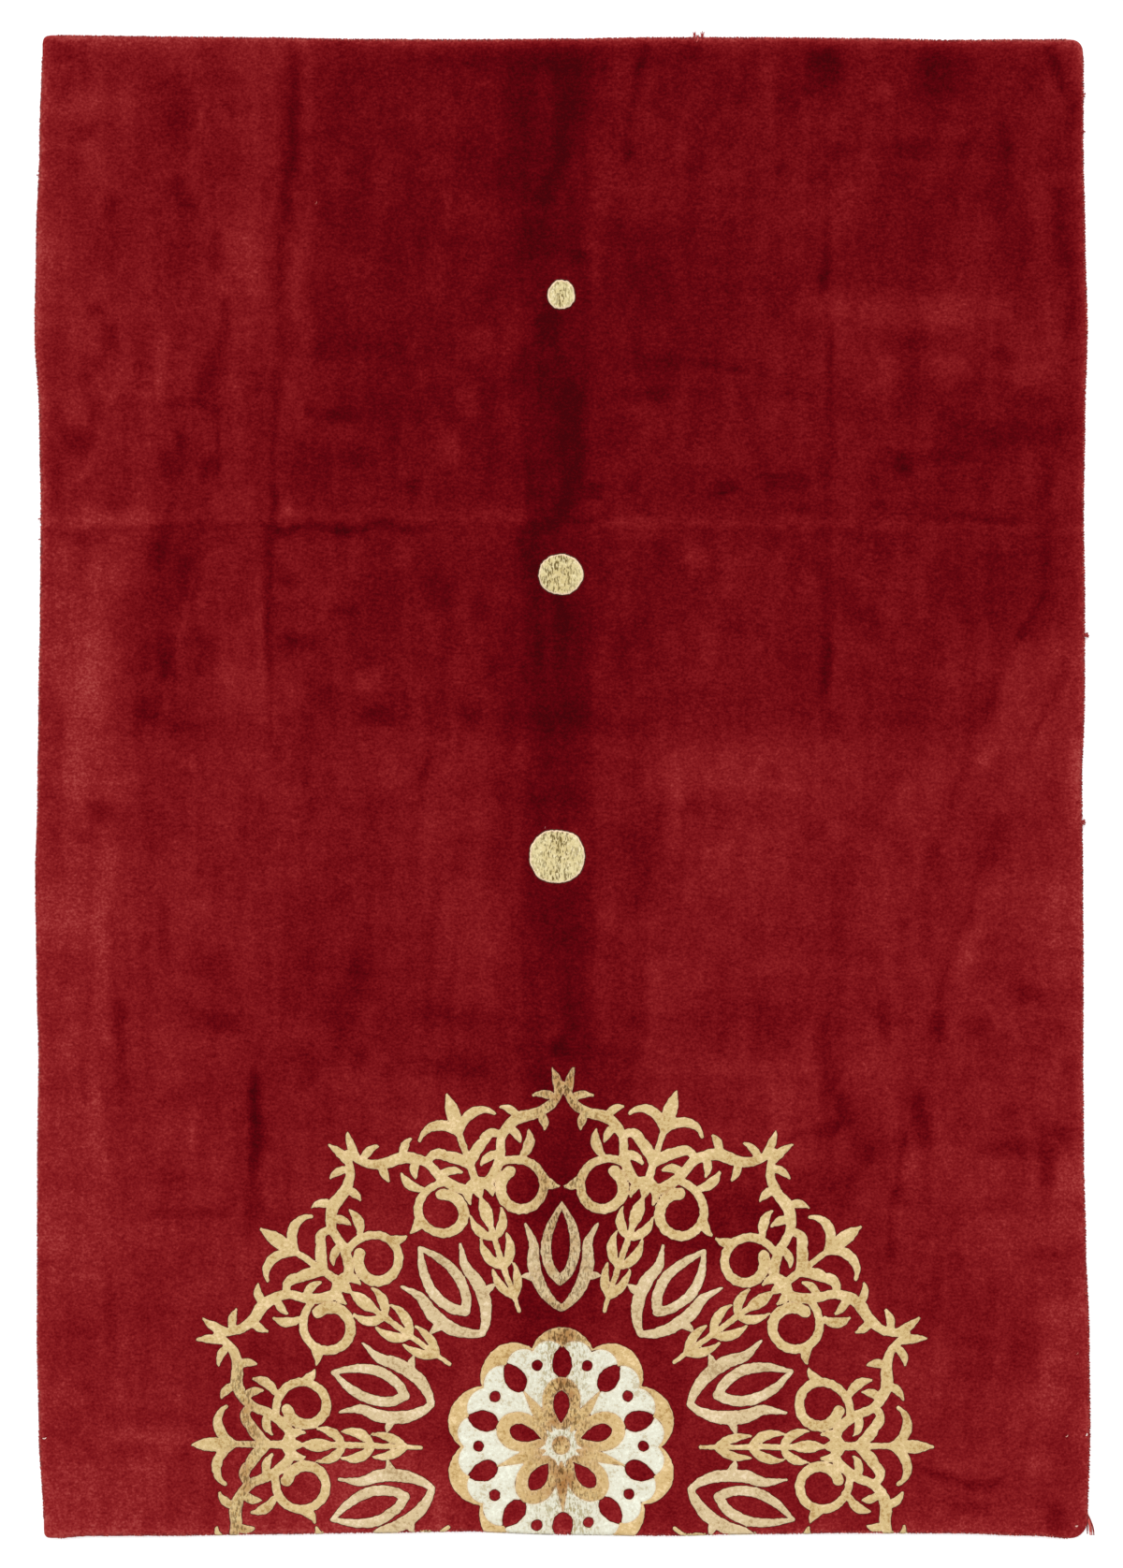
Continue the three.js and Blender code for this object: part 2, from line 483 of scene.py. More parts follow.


# Patches of painted light and shade where the pile lies one way or another, from the plain end to the
# medallion end. Each has its middle across and along, half width and half length in mm, tone in hundredths,
# and for some a lean in degrees and an edge.
PATCHES = (
    # Straight-sided bands of painted shade that the folds leave: down the middle, then beside the left
    # fold.
    (-9, 335, 53, 825, -12, 0, 12), (-710, 195, 50, 135, 8), (-475, 830, 26, 125, 6),
    # Middle fold, plain end: two dark limbs with lighter pile between them.
    (-12, 1108, 66, 28, -22), (-70, 1005, 17, 95, -18), (-58, 860, 32, 66, -17), (22, 808, 18, 11, -16),
    (-20, 700, 18, 24, -22), (-24, 628, 14, 42, -16), (-58, 640, 20, 42, -13),
    # Middle fold between the discs.
    (-42, 560, 20, 26, -8), (-58, 480, 24, 48, -11), (32, 412, 22, 7, -16), (50, 455, 13, 13, -24),
    (0, 230, 46, 95, -5), (0, 240, 13, 66, -17), (0, 62, 44, 62, -14), (-8, -32, 46, 34, -19),
    (-96, -4, 9, 22, -12),
    # Middle fold below the large disc.
    (11, -200, 40, 58, -14), (20, -345, 26, 62, -18), (-5, -398, 12, 14, -24), (-30, -430, 20, 34, -12),
    (0, -640, 24, 120, -8),
    # Plain end, left.
    (-735, 1045, 40, 32, 8), (-662, 1045, 14, 28, 12), (-752, 1075, 9, 22, -13, 15),
    (-765, 1120, 28, 16, -18), (-728, 995, 15, 12, -18), (-745, 955, 12, 25, -9),
    (-590, 1045, 30, 38, -14), (-585, 1000, 26, 40, -12), (-640, 940, 16, 30, -13),
    (-590, 910, 14, 16, -18), (-570, 888, 12, 12, -20), (-690, 885, 10, 18, -16, 10),
    (-700, 820, 18, 30, -16), (-527, 825, 8, 30, -15), (-710, 728, 12, 11, -22), (-545, 1120, 20, 12, -9),
    (-480, 790, 32, 84, 16), (-470, 1040, 24, 50, 7), (-455, 905, 8, 20, -20), (-560, 745, 30, 30, 5),
    (-345, 940, 16, 22, 9), (-165, 1108, 78, 13, -9), (-115, 1072, 18, 7, 14), (-136, 1020, 9, 40, 9),
    (-177, 882, 8, 34, 14), (-160, 895, 6, 14, -15), (-100, 920, 8, 40, -12), (-200, 780, 40, 50, 6),
    # Plain end, right.
    (200, 1120, 18, 18, -16), (228, 1030, 8, 20, -11, 15), (140, 1015, 14, 16, 12),
    (280, 1070, 10, 40, -10), (345, 1060, 15, 60, -9), (398, 1101, 28, 24, -34), (398, 1065, 28, 13, -18),
    (418, 970, 8, 20, -16, 8), (333, 935, 6, 20, -16), (205, 955, 14, 18, -11), (120, 800, 48, 60, -14),
    (575, 1090, 35, 38, -28), (645, 1106, 5, 18, 15), (780, 1030, 14, 32, -20), (488, 1055, 18, 12, 17),
    (530, 970, 22, 16, -17), (672, 970, 12, 50, -19), (640, 975, 60, 11, -7), (735, 870, 14, 50, 10),
    (520, 726, 120, 28, 20), (400, 745, 40, 26, 16), (430, 900, 60, 24, 7),
    # Left, between the plain end and the cross fold.
    (-575, 585, 28, 9, -14), (-606, 490, 9, 22, -14), (-540, 485, 14, 14, -13), (-545, 430, 8, 20, -11),
    (-612, 655, 9, 42, 15), (-640, 600, 30, 7, 12), (-690, 690, 14, 18, -22), (-772, 570, 8, 18, -13),
    (-710, 570, 12, 18, -22), (-740, 530, 32, 22, -24), (-775, 470, 12, 40, -17), (-680, 416, 60, 10, 12),
    (-745, 380, 44, 13, -10), (-600, 368, 44, 34, -12), (-578, 320, 20, 48, -14), (-510, 440, 40, 18, 9),
    (-500, 620, 14, 20, 9), (-410, 602, 14, 25, 13), (-420, 420, 14, 20, 16), (-415, 316, 13, 14, -25),
    (-460, 225, 7, 70, 12), (-335, 675, 50, 20, -9), (-123, 675, 14, 30, 13), (-145, 595, 14, 25, 18),
    (-385, 575, 7, 12, -22), (-340, 568, 30, 9, -20), (-265, 578, 60, 20, -8), (-355, 500, 60, 16, -10),
    (-315, 505, 13, 20, -14), (-260, 530, 10, 24, -12), (-172, 520, 16, 30, 28), (-256, 470, 5, 24, -12),
    (-230, 450, 12, 15, -18), (-245, 350, 12, 24, 10), (-335, 266, 24, 12, -24), (-190, 290, 25, 28, -9),
    (-130, 270, 18, 26, -15),
    # Right, between the plain end and the cross fold.
    (130, 602, 42, 11, -19), (150, 640, 34, 24, -15), (222, 645, 16, 9, -18), (262, 640, 12, 7, -20),
    (132, 550, 20, 26, 13), (345, 580, 34, 13, 8), (408, 640, 5, 42, -11), (118, 475, 30, 11, -15, -65),
    (250, 458, 18, 10, -27), (325, 465, 16, 14, -19), (356, 462, 13, 12, -17), (120, 394, 42, 16, 14),
    (345, 400, 34, 13, 11), (150, 360, 16, 18, -15), (205, 345, 14, 20, 22), (255, 320, 16, 40, 10),
    (375, 305, 16, 24, 13), (585, 645, 45, 24, 13), (500, 640, 18, 30, 16), (670, 660, 20, 9, -12),
    (722, 630, 34, 30, 15), (690, 536, 88, 20, -15), (578, 506, 60, 9, -14), (518, 490, 16, 14, -27),
    (485, 430, 14, 7, -20), (470, 465, 12, 13, -11), (640, 410, 60, 7, -18), (750, 440, 8, 18, 15),
    (560, 372, 12, 24, 18), (590, 310, 22, 35, -11, 10),
    # Left of the middle.
    (-740, 190, 40, 60, 15), (-745, 48, 17, 80, 18), (-700, 150, 34, 80, 9), (-690, 330, 24, 60, 12, 20),
    (-550, 270, 13, 28, 11), (-601, 180, 13, 22, -18), (-580, 200, 8, 22, 11), (-555, 230, 8, 14, -16),
    (-553, 185, 7, 18, -18), (-632, 118, 20, 24, -17), (-402, 224, 34, 12, -20), (-420, 105, 14, 10, -13),
    (-500, 200, 24, 60, 20), (-565, 30, 6, 16, 18), (-565, -80, 8, 60, 13), (-700, -36, 20, 17, -20),
    (-670, -42, 60, 18, -7), (-725, -80, 14, 8, -15), (-790, -30, 9, 60, -9),
    (-690, -115, 18, 22, 13, 20), (-446, -130, 6, 32, 11), (-300, 160, 20, 15, 20),
    (-362, 140, 20, 12, -21), (-280, 106, 22, 15, -20), (-138, 105, 13, 20, -17), (-385, -30, 12, 30, -7),
    # Right of the middle.
    (220, 210, 13, 40, 8), (345, 200, 48, 40, -8), (402, 190, 8, 50, -15), (415, 95, 15, 16, -15),
    (240, 20, 88, 34, 10), (170, -20, 12, 72, 15), (385, -70, 13, 14, -13), (115, -120, 24, 66, -15),
    (415, -140, 24, 24, -9), (460, 265, 18, 14, -15), (470, 235, 14, 15, -13), (570, 175, 60, 7, 7),
    (520, -10, 14, 20, 9), (782, 0, 9, 64, 20), (748, -185, 38, 52, 14),
    # Left, above the medallion.
    (-760, -190, 38, 52, 15), (-755, -420, 22, 90, 10), (-704, -240, 12, 125, 17),
    (-710, -500, 12, 62, 15), (-605, -220, 11, 50, -19), (-640, -290, 20, 13, -9),
    (-675, -370, 9, 42, -15), (-672, -440, 11, 50, -9), (-530, -280, 28, 30, -16),
    (-525, -360, 32, 13, -17), (-420, -360, 28, 26, 8), (-600, -480, 20, 11, -15),
    (-565, -520, 8, 30, 18), (-305, -260, 20, 60, -13), (-185, -345, 50, 18, -11),
    (-385, -370, 30, 13, 8), (-310, -412, 11, 20, -27), (-383, -432, 14, 24, -17),
    (-170, -425, 62, 15, -15),
    # Right, above the medallion.
    (105, -330, 20, 60, -12), (340, -275, 34, 13, 9), (250, -355, 108, 34, -12), (250, -432, 130, 9, 11),
    (395, -385, 13, 40, -19), (412, -460, 18, 36, -15), (430, -492, 13, 25, -24), (545, -280, 20, 20, 7),
    (715, -318, 20, 15, -19), (570, -366, 14, 19, -27), (490, -355, 11, 34, -22), (520, -360, 25, 5, -13),
    (635, -370, 18, 13, -17), (665, -386, 14, 14, -11), (715, -403, 20, 6, -15), (775, -425, 13, 12, -13),
    (540, -490, 9, 22, -26), (550, -525, 17, 21, -22), (468, -560, 10, 18, -19), (690, -556, 60, 13, -18),
    (755, -530, 25, 15, -19), (740, -580, 13, 28, -17),
    # Broad drifts of lighter and darker pile.
    (74, 330, 22, 560, -4), (62, -110, 24, 60, -8), (108, -250, 20, 60, -7), (650, 820, 24, 45, 12),
    (-46, -235, 12, 50, 8), (170, 190, 16, 50, 8), (-600, -532, 70, 18, 8), (-695, -735, 45, 14, 11),
    (-570, -1000, 28, 20, 11), (610, -130, 22, 40, 8), (652, 200, 14, 36, 10), (-180, 950, 22, 15, 12),
    (-640, 860, 18, 16, 8), (-745, 270, 60, 190, 13), (-470, 140, 70, 50, 13), (735, 80, 52, 110, 14),
    (-270, -330, 110, 110, -10), (-70, 60, 40, 330, -9), (-50, -800, 60, 90, -12),
    (-720, -620, 70, 110, 9), (463, -540, 70, 60, -14), (-520, 1085, 150, 45, 5), (670, 677, 130, 66, 9),
    (-335, -190, 66, 260, -7), (0, -400, 120, 66, -8), (4, -700, 95, 230, -12), (40, -665, 90, 70, -6),
    (330, -680, 200, 75, -7), (330, -800, 66, 66, -6), (-520, 505, 75, 52, -5), (330, 430, 80, 70, -9),
    (600, 480, 66, 120, -8),
    # Under the medallion.
    (265, -667, 130, 60, -14), (-270, -1078, 110, 52, 14),
    # Beside the medallion, left.
    (-495, -600, 18, 40, -9), (-570, -650, 60, 7, -15), (-690, -800, 8, 62, -15),
    (-740, -820, 13, 25, -13), (-730, -915, 16, 11, -11), (-640, -990, 60, 15, 18),
    (-730, -1042, 30, 11, 9),
    # Beside the medallion, right.
    (515, -625, 13, 21, -17), (420, -620, 20, 30, -13), (665, -640, 30, 11, -16),
    (740, -712, 25, 14, -13), (772, -620, 22, 60, 16), (765, -800, 30, 24, 18), (745, -900, 17, 60, 13),
    (700, -862, 24, 38, -11), (620, -890, 48, 18, -7), (755, -1120, 13, 21, -26),
    (620, -1100, 30, 11, -17), (735, -1030, 30, 18, 16),
)

# Folds and brushed lines, with the painted shade and light along them. Each has its rise in mm, then
# stations with x, y and half width in mm and tone in hundredths.
STREAKS = (
    # Middle fold.
    (-1.4, (12, 1080, 22, -15), (8, 1030, 18, -20), (2, 985, 14, -24), (-8, 945, 10, -22),
     (-26, 903, 13, -20)),
    (-1.2, (12, 600, 18, -19), (14, 540, 14, -24), (20, 505, 14, -28), (16, 470, 14, -30),
     (9, 440, 13, -28), (0, 415, 13, -30), (-20, 402, 11, -28), (-50, 392, 13, -24), (-58, 352, 13, -20),
     (-45, 330, 9, -18)),
    # Left fold, with painted shade in its trough and painted light on both shoulders.
    (-1.3, (-409, 1125, 6, -15), (-408, 1040, 11, -22), (-411, 985, 12, -25), (-418, 940, 10, -18),
     (-424, 900, 10, -20), (-428, 855, 10, -18), (-431, 800, 7, -16), (-434, 700, 6, -15),
     (-435, 650, 9, -15), (-437, 585, 8, -16), (-441, 540, 5, -14), (-443, 410, 6, -14),
     (-441, 390, 11, -22), (-446, 360, 5, -13), (-447, 260, 6, -15), (-446, 190, 5, -12),
     (-447, 120, 4, -9), (-449, 60, 4, -6)),
    (1, (-382, 1125, 16, 7), (-388, 960, 18, 8), (-396, 850, 20, 9), (-405, 790, 20, 9),
     (-408, 720, 16, 7), (-402, 690, 16, 5)),
    # Creases of the plain end, left.
    (-0.9, (-513, 735, 5, -18), (-516, 710, 8, -20), (-524, 680, 8, -18), (-530, 650, 10, -17),
     (-540, 620, 9, -15), (-546, 590, 9, -12)),
    (-0.8, (-580, 530, 8, -14), (-588, 475, 8, -14), (-598, 425, 7, -15), (-612, 372, 9, -16),
     (-607, 300, 9, -8), (-605, 230, 9, -5), (-600, 160, 8, -3)),
    (0, (-530, 610, 4, -14), (-528, 540, 4, -19), (-527, 450, 5, -15)),
    (0, (-560, 330, 4, 11), (-590, 200, 4, 13), (-620, 60, 4, 8)),
    (0, (-668, 650, 8, 8), (-675, 620, 9, 15), (-690, 598, 8, 17)),
    (-0.7, (-700, 665, 8, -14), (-714, 648, 11, -17), (-727, 626, 8, -16)),
    (0, (-545, 1050, 4, 10), (-562, 985, 5, 11), (-572, 935, 6, 13)),
    (0, (-700, 545, 4, 10), (-715, 505, 5, 11), (-735, 465, 6, 14)),
    # Creases of the plain end, right.
    (-0.9, (127, 1130, 6, -17), (118, 1100, 9, -25), (109, 1050, 6, -21), (105, 1005, 5, -17),
     (103, 975, 9, -29), (99, 955, 6, -20)),
    (-0.9, (408, 880, 4, -6), (404, 830, 5, -16), (401, 790, 8, -29), (400, 765, 6, -24)),
    (0, (402, 1120, 5, -6), (400, 1000, 5, -8), (404, 900, 5, -6)),
    (0, (404, 740, 5, -10), (408, 620, 5, -12), (406, 540, 6, -10), (404, 400, 6, -8), (402, 240, 8, -10),
     (400, 80, 7, -8)),
    (-0.7, (742, 1125, 9, -20), (755, 1095, 8, -27), (762, 1070, 6, -26)),
    (0, (755, 910, 12, -14), (758, 860, 10, -15), (770, 800, 17, -17), (778, 740, 9, -16),
     (772, 690, 7, -12)),
    (0, (735, 490, 12, -10), (737, 440, 11, -10), (738, 400, 16, -15), (735, 350, 12, -15),
     (731, 310, 11, -16), (726, 285, 8, -10)),
    # Cross fold at the level of the middle disc.
    (-0.9, (-430, 388, 6, -20), (-380, 395, 5, -21), (-335, 390, 8, -31), (-305, 390, 7, -27),
     (-288, 398, 6, -20), (-245, 394, 6, -17), (-180, 400, 5, -10)),
    (0.8, (-795, 405, 7, 11), (-650, 409, 7, 12), (-590, 411, 7, 5), (-450, 414, 6, 9),
     (-400, 414, 7, 11), (-60, 412, 7, 11)),
    (0.7, (60, 408, 7, 11), (300, 404, 8, 9), (640, 396, 7, 9), (790, 394, 6, 8)),
    (0, (-795, 391, 5, -8), (-450, 398, 5, -9)),
    (0, (60, 392, 5, -6), (300, 388, 5, -4), (790, 379, 5, -4)),
    # Slanting creases of the right side.
    (-0.7, (768, 200, 4, -9), (760, 160, 9, -19), (745, 125, 6, -12), (728, 90, 5, -14),
     (700, 40, 5, -10)),
    (0, (733, 290, 5, -15), (715, 255, 6, -17), (698, 225, 7, -19)),
    (-0.9, (664, 132, 14, -15), (642, 95, 18, -13), (622, 50, 15, -12), (607, 5, 9, -10),
     (585, -60, 8, -5), (560, -110, 12, -5)),
    (0.6, (704, 240, 15, 8), (690, 150, 16, 10), (642, 30, 13, 8)),
    (-0.9, (672, -45, 8, -12), (664, -80, 14, -20), (648, -105, 10, -13), (630, -130, 6, -12),
     (622, -185, 7, -13), (602, -225, 6, -13), (588, -260, 6, -14), (570, -345, 6, -10)),
    (0.8, (655, -150, 13, 11), (642, -215, 15, 12), (606, -290, 11, 12)),
    # A comma of dark pile left of the large disc.
    (0, (-203, 45, 4, -9), (-210, 22, 7, -15), (-222, 8, 7, -13), (-245, 2, 4, -9)),
    # Fold above and beside the medallion.
    (-1.2, (-465, -425, 4, -10), (-464, -440, 9, -27), (-468, -465, 10, -33), (-468, -495, 10, -29),
     (-463, -535, 10, -36), (-470, -565, 8, -27), (-473, -600, 8, -22), (-470, -640, 10, -23),
     (-478, -690, 8, -11)),
    (-0.6, (330, -540, 4, -9), (365, -530, 6, -17), (395, -520, 8, -21), (417, -518, 8, -16)),
    (0, (523, -530, 4, -10), (512, -600, 5, -15), (504, -650, 5, -17), (500, -720, 6, -12)),
    (0, (538, -530, 9, 7), (520, -640, 9, 7)),
    (-0.7, (535, -1035, 5, -16), (565, -1042, 7, -34), (600, -1055, 6, -24), (640, -1065, 7, -34),
     (672, -1063, 5, -16)),
)


# Broad slopes of the field's painted light and shade. Each has its weight, then the axis of each slope,
# where it starts and how far it runs, in mm, negative where it runs towards the left or the medallion.
SLOPES = (
    # Lighter towards the medallion end.
    (0.045, ("y", -150, -900)),
    # Darker on the right of the plain end, and lighter along the left of the medallion end.
    (-0.05, ("x", 30, 150), ("y", 420, 250)),
    (0.10, ("y", -990, -80), ("x", 160, -120)),
    # Lighter left of the left fold, and darker from there to the middle.
    (0.085, ("x", -395, -60), ("y", 200, 400)),
    (-0.085, ("x", -388, 12), ("x", -60, -60), ("y", 380, 120)),
    # Lighter down both sides.
    (0.08, ("x", -590, -150)),
    (0.05, ("x", 660, 120)),
)


@dataclass(frozen=True)
class NapShadeAndFolds:
    """How the pile has been brushed, folded and walked on, place by place. Its tone is painted light and
    shade of the pile's lean, its folds and its rim; its relief is the real height of the folds.

    Args:
        patches: Patches of painted light and shade, by region, from the plain end to the medallion end.
        streaks: Folds and brushed lines, with their painted shade and light.
        grains: Rows of seed, size across, size along, weight and lean of the stray brushing, painted as
            light and shade.
    """

    patches: tuple[Patch, ...] = tuple(Patch(*row) for row in PATCHES)
    streaks: tuple[Streak, ...] = tuple(Streak(tuple(stations), rise) for rise, *stations in STREAKS)
    grains: tuple[tuple[int, float, float, float, float], ...] = (
        (21, 18, 140, 0.045, 3), (22, 10, 55, 0.055, -4), (23, 150, 20, 0.04, 4), (24, 64, 50, 0.04, 25),
        (25, 28, 24, 0.038, -30), (26, 13, 12, 0.035, 40), (27, 34, 110, 0.045, 10),
        (28, 110, 130, 0.045, -20), (30, 8, 8, 0.02, 20),
    )

    # Painted tone of the medallion's half, and how much painted shade darkens the plain half.
    START = 0.612
    FALL = 0.125
    # Painted shade of dark bands down the rug, where it was folded: middle and half width in mm, and
    # weight.
    BANDS = ((-4, 80, -0.05), (0, 180, -0.04))
    # Painted highlight: the tips at the rim stand open and look lighter than any pile inside it.
    LIGHTEST = 1.3
    # Tones are spread about the middle one, and those over the bright one are held back.
    MIDDLE = 0.58
    SPREAD = 1.1
    BRIGHT = 0.85
    # Depth of pile behind the rim over which a fold dies out, in mm.
    FOLD_END = 14

    def tone(self, x: Array, y: Array, inset: Array) -> Array:
        """Works out how light the field looks, as painted light and shade.

        Args:
            x: Places across the rug, in mm.
            y: Places along the rug, in mm.
            inset: Distance in from the edge, in mm.

        Returns:
            Tone at each point, 0 for the darkest pile and 1 for the lightest inside the rim.
        """
        stray_x = x + 3 * Grain(11, 50, 60)(x, y) + 3 * Grain(12, 15, 17)(x, y)
        stray_y = y + 5 * Grain(13, 60, 50)(x, y) + 4 * Grain(14, 17, 15)(x, y)
        # The painted shade of the plain half begins at this level, in a step that is sharper on the right.
        step = 85 - 40 * eased(0.5 + x / 80)
        level = 78 + 150 * eased((x - 620) / 90)
        tone = self.START - self.FALL * eased(0.5 + (y - level) / step)
        for weight, *slopes in SLOPES:
            share = weight
            for axis, start, run in slopes:
                share = share * eased(((x if axis == "x" else y) - start) / run)
            tone = tone + share
        for middle, wide, weight in self.BANDS:
            tone = tone + weight * np.exp(-(((x - middle) / wide) ** 2))
        for mark in (*self.patches, *self.streaks):
            tone = tone + mark.at(stray_x, stray_y)
        for seed, across, along, weight, lean in self.grains:
            turn = math.radians(lean)
            u = stray_x * math.cos(turn) - stray_y * math.sin(turn)
            v = stray_x * math.sin(turn) + stray_y * math.cos(turn)
            tone = tone + weight * Grain(seed, across, along)(u, v)
        tone = self.MIDDLE + self.SPREAD * (tone - self.MIDDLE)
        # Even the lightest pile stays a clear red.
        tone = np.where(tone > self.BRIGHT, self.BRIGHT + 0.6 * (tone - self.BRIGHT), tone)
        # The painted highlight on the rim's open tips is palest along the plain end, but for its left
        # third.
        crest = eased((y - 1090) / 30)
        bare = crest * eased((x + 330) / 90)
        rim = np.exp(-np.clip(inset, 0, None) / (9 + 3 * crest - 4 * bare))
        painted_rim_highlight = 0.30 + 0.18 * eased((y - 100) / 450) + 0.06 * eased(-x / 400) * eased((y + 400) / 400)
        painted_rim_highlight = painted_rim_highlight + 0.38 * bare
        rim *= painted_rim_highlight + 0.10 * Grain(29, 30, 30)(x, y) + 0.06 * Grain(30, 5, 5)(x, y)
        return np.clip(tone + rim, 0, self.LIGHTEST)

    def relief(self, x: Array, y: Array, inset: Array) -> Array:
        """Works out how far the pile stands above or below its even height.

        Args:
            x: Places across the rug, in mm.
            y: Places along the rug, in mm.
            inset: Distance in from the edge, in mm.

        Returns:
            Height in mm.
        """
        # Broad swells and the pile's own unevenness, then the folds.
        stray = x + 3 * Grain(31, 60, 80)(x, y)
        height = 0.35 * Grain(32, 150, 190)(x, y) + 0.12 * Grain(33, 14, 14)(x, y)
        for streak in self.streaks:
            if streak.rise:
                height = height + streak.height(stray, y)
        return height * eased(inset / self.FOLD_END)


def new_piece(
    name: str,
    points: Array,
    faces: Iterable[Array],
    values: dict[str, Array] | None = None,
    dyes: dict[str, Array] | None = None,
) -> Piece:
    """Makes a smooth mesh object and links it to the scene.

    Args:
        name: The piece's name.
        points: Places of the vertices, n by 3, in mm.
        faces: Arrays of vertex indices, each with one face a row.
        values: Numbers to keep at each vertex, by name.
        dyes: Linear colours to keep at each vertex, n by 4, by name.

    Returns:
        The new object, at the origin.
    """
    mesh = bpy.data.meshes.new(name)
    groups = [np.asarray(f, np.int32) for f in faces if len(f)]
    sizes = np.concatenate([np.full(len(f), f.shape[1], np.int32) for f in groups])
    corners = np.concatenate([f.ravel() for f in groups])
    mesh.vertices.add(len(points))
    mesh.vertices.foreach_set("co", (points * MM).astype(np.float32).ravel())
    mesh.loops.add(len(corners))
    mesh.loops.foreach_set("vertex_index", corners)
    mesh.polygons.add(len(sizes))
    mesh.polygons.foreach_set("loop_start", np.concatenate([[0], np.cumsum(sizes)[:-1]]).astype(np.int32))
    mesh.polygons.foreach_set("use_smooth", np.ones(len(sizes), bool))
    for kind, field, layers in (("FLOAT", "value", values), ("FLOAT_COLOR", "color", dyes)):
        for key, numbers in (layers or {}).items():
            layer = mesh.attributes.new(key, kind, "POINT")
            layer.data.foreach_set(field, np.asarray(numbers, np.float32).ravel())
    mesh.update(calc_edges=True)
    mesh.validate()
    piece = bpy.data.objects.new(name, mesh)
    bpy.context.scene.collection.objects.link(piece)
    return piece


def dress(piece: Piece, finish: bpy.types.Material, slot: Slot) -> Piece:
    """Gives a piece its material and the body that it moves with.

    Args:
        piece: The piece, in place.
        finish: Its material.
        slot: The record's slot that the finish stands for; not used.

    Returns:
        The same piece.
    """
    piece.data.materials.append(finish)
    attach(piece, BODY)
    triangles = sum(len(p.vertices) - 2 for p in piece.data.polygons)
    log.info("%s: %d triangles", piece.name, triangles)
    return piece


def add_node(
    tree: Tree,
    kind: str,
    inputs: dict[str | int, object] | None = None,
    settings: dict[str, object] | None = None,
    stops: Sequence[tuple[float, str]] = (),
) -> bpy.types.Node:
    """Adds a shader node with its settings and links.

    Args:
        tree: The material's or world's node tree.
        kind: Blender's name for the node type, after "ShaderNode".
        inputs: Values, or sockets of other nodes, by the input's name or number.
        settings: Properties of the node, by name.
        stops: Places and hex colours of a colour ramp.

    Returns:
        The node.
    """
    node = tree.nodes.new("ShaderNode" + kind)
    for key, value in (settings or {}).items():
        setattr(node, key, value)
    for key, value in (inputs or {}).items():
        if isinstance(value, bpy.types.NodeSocket):
            tree.links.new(value, node.inputs[key])
        else:
            node.inputs[key].default_value = value
    if stops:
        marks = node.color_ramp.elements
        while len(marks) < len(stops):
            marks.new(1.0)
        for mark, (place, colour) in zip(marks, stops):
            mark.position = place
            mark.color = linear(colour)
    return node


def blank_material(name: str) -> tuple[bpy.types.Material, Tree]:
    """Makes a material with an empty node tree.

    Args:
        name: Name of the material.

    Returns:
        The material and its node tree.
    """
    material = bpy.data.materials.new(name)
    material.use_nodes = True
    material.node_tree.nodes.clear()
    return material, material.node_tree


def scaled(tree: Tree, place: Socket, size: tuple[float, float, float]) -> Socket:
    """Divides a place in metres by a pattern's size in mm, for a texture of scale 1.

    Args:
        tree: The node tree.
        place: A place, in metres.
        size: Size of the pattern along x, y and z, in mm.

    Returns:
        The place in steps of the pattern.
    """
    factors = tuple(1 / (s * MM) for s in size)
    node = add_node(tree, "VectorMath", {0: place, 1: factors}, {"operation": "MULTIPLY"})
    return node.outputs["Vector"]


def finish_wool(
    tree: Tree, colour: Socket, relief: Socket, depth: float, strength: float, look: dict[str, float]
) -> None:
    """Ends a wool material with its relief, its shader and the material's output.

    Args:
        tree: The material's node tree.
        colour: Its colour.
        relief: Height of its surface, from 0 to about 1.
        depth: Height in mm that 1 stands for.
        strength: Strength of the relief, from 0 to 1.
        look: The shader's other numbers, by the input's name.
    """
    bump = add_node(tree, "Bump", {"Height": relief, "Distance": depth * MM, "Strength": strength})
    inputs = {"Base Color": colour, "Normal": bump.outputs["Normal"], "IOR": WOOL_IOR, **look}
    wool = add_node(tree, "BsdfPrincipled", inputs)
    add_node(tree, "OutputMaterial", {"Surface": wool.outputs["BSDF"]})


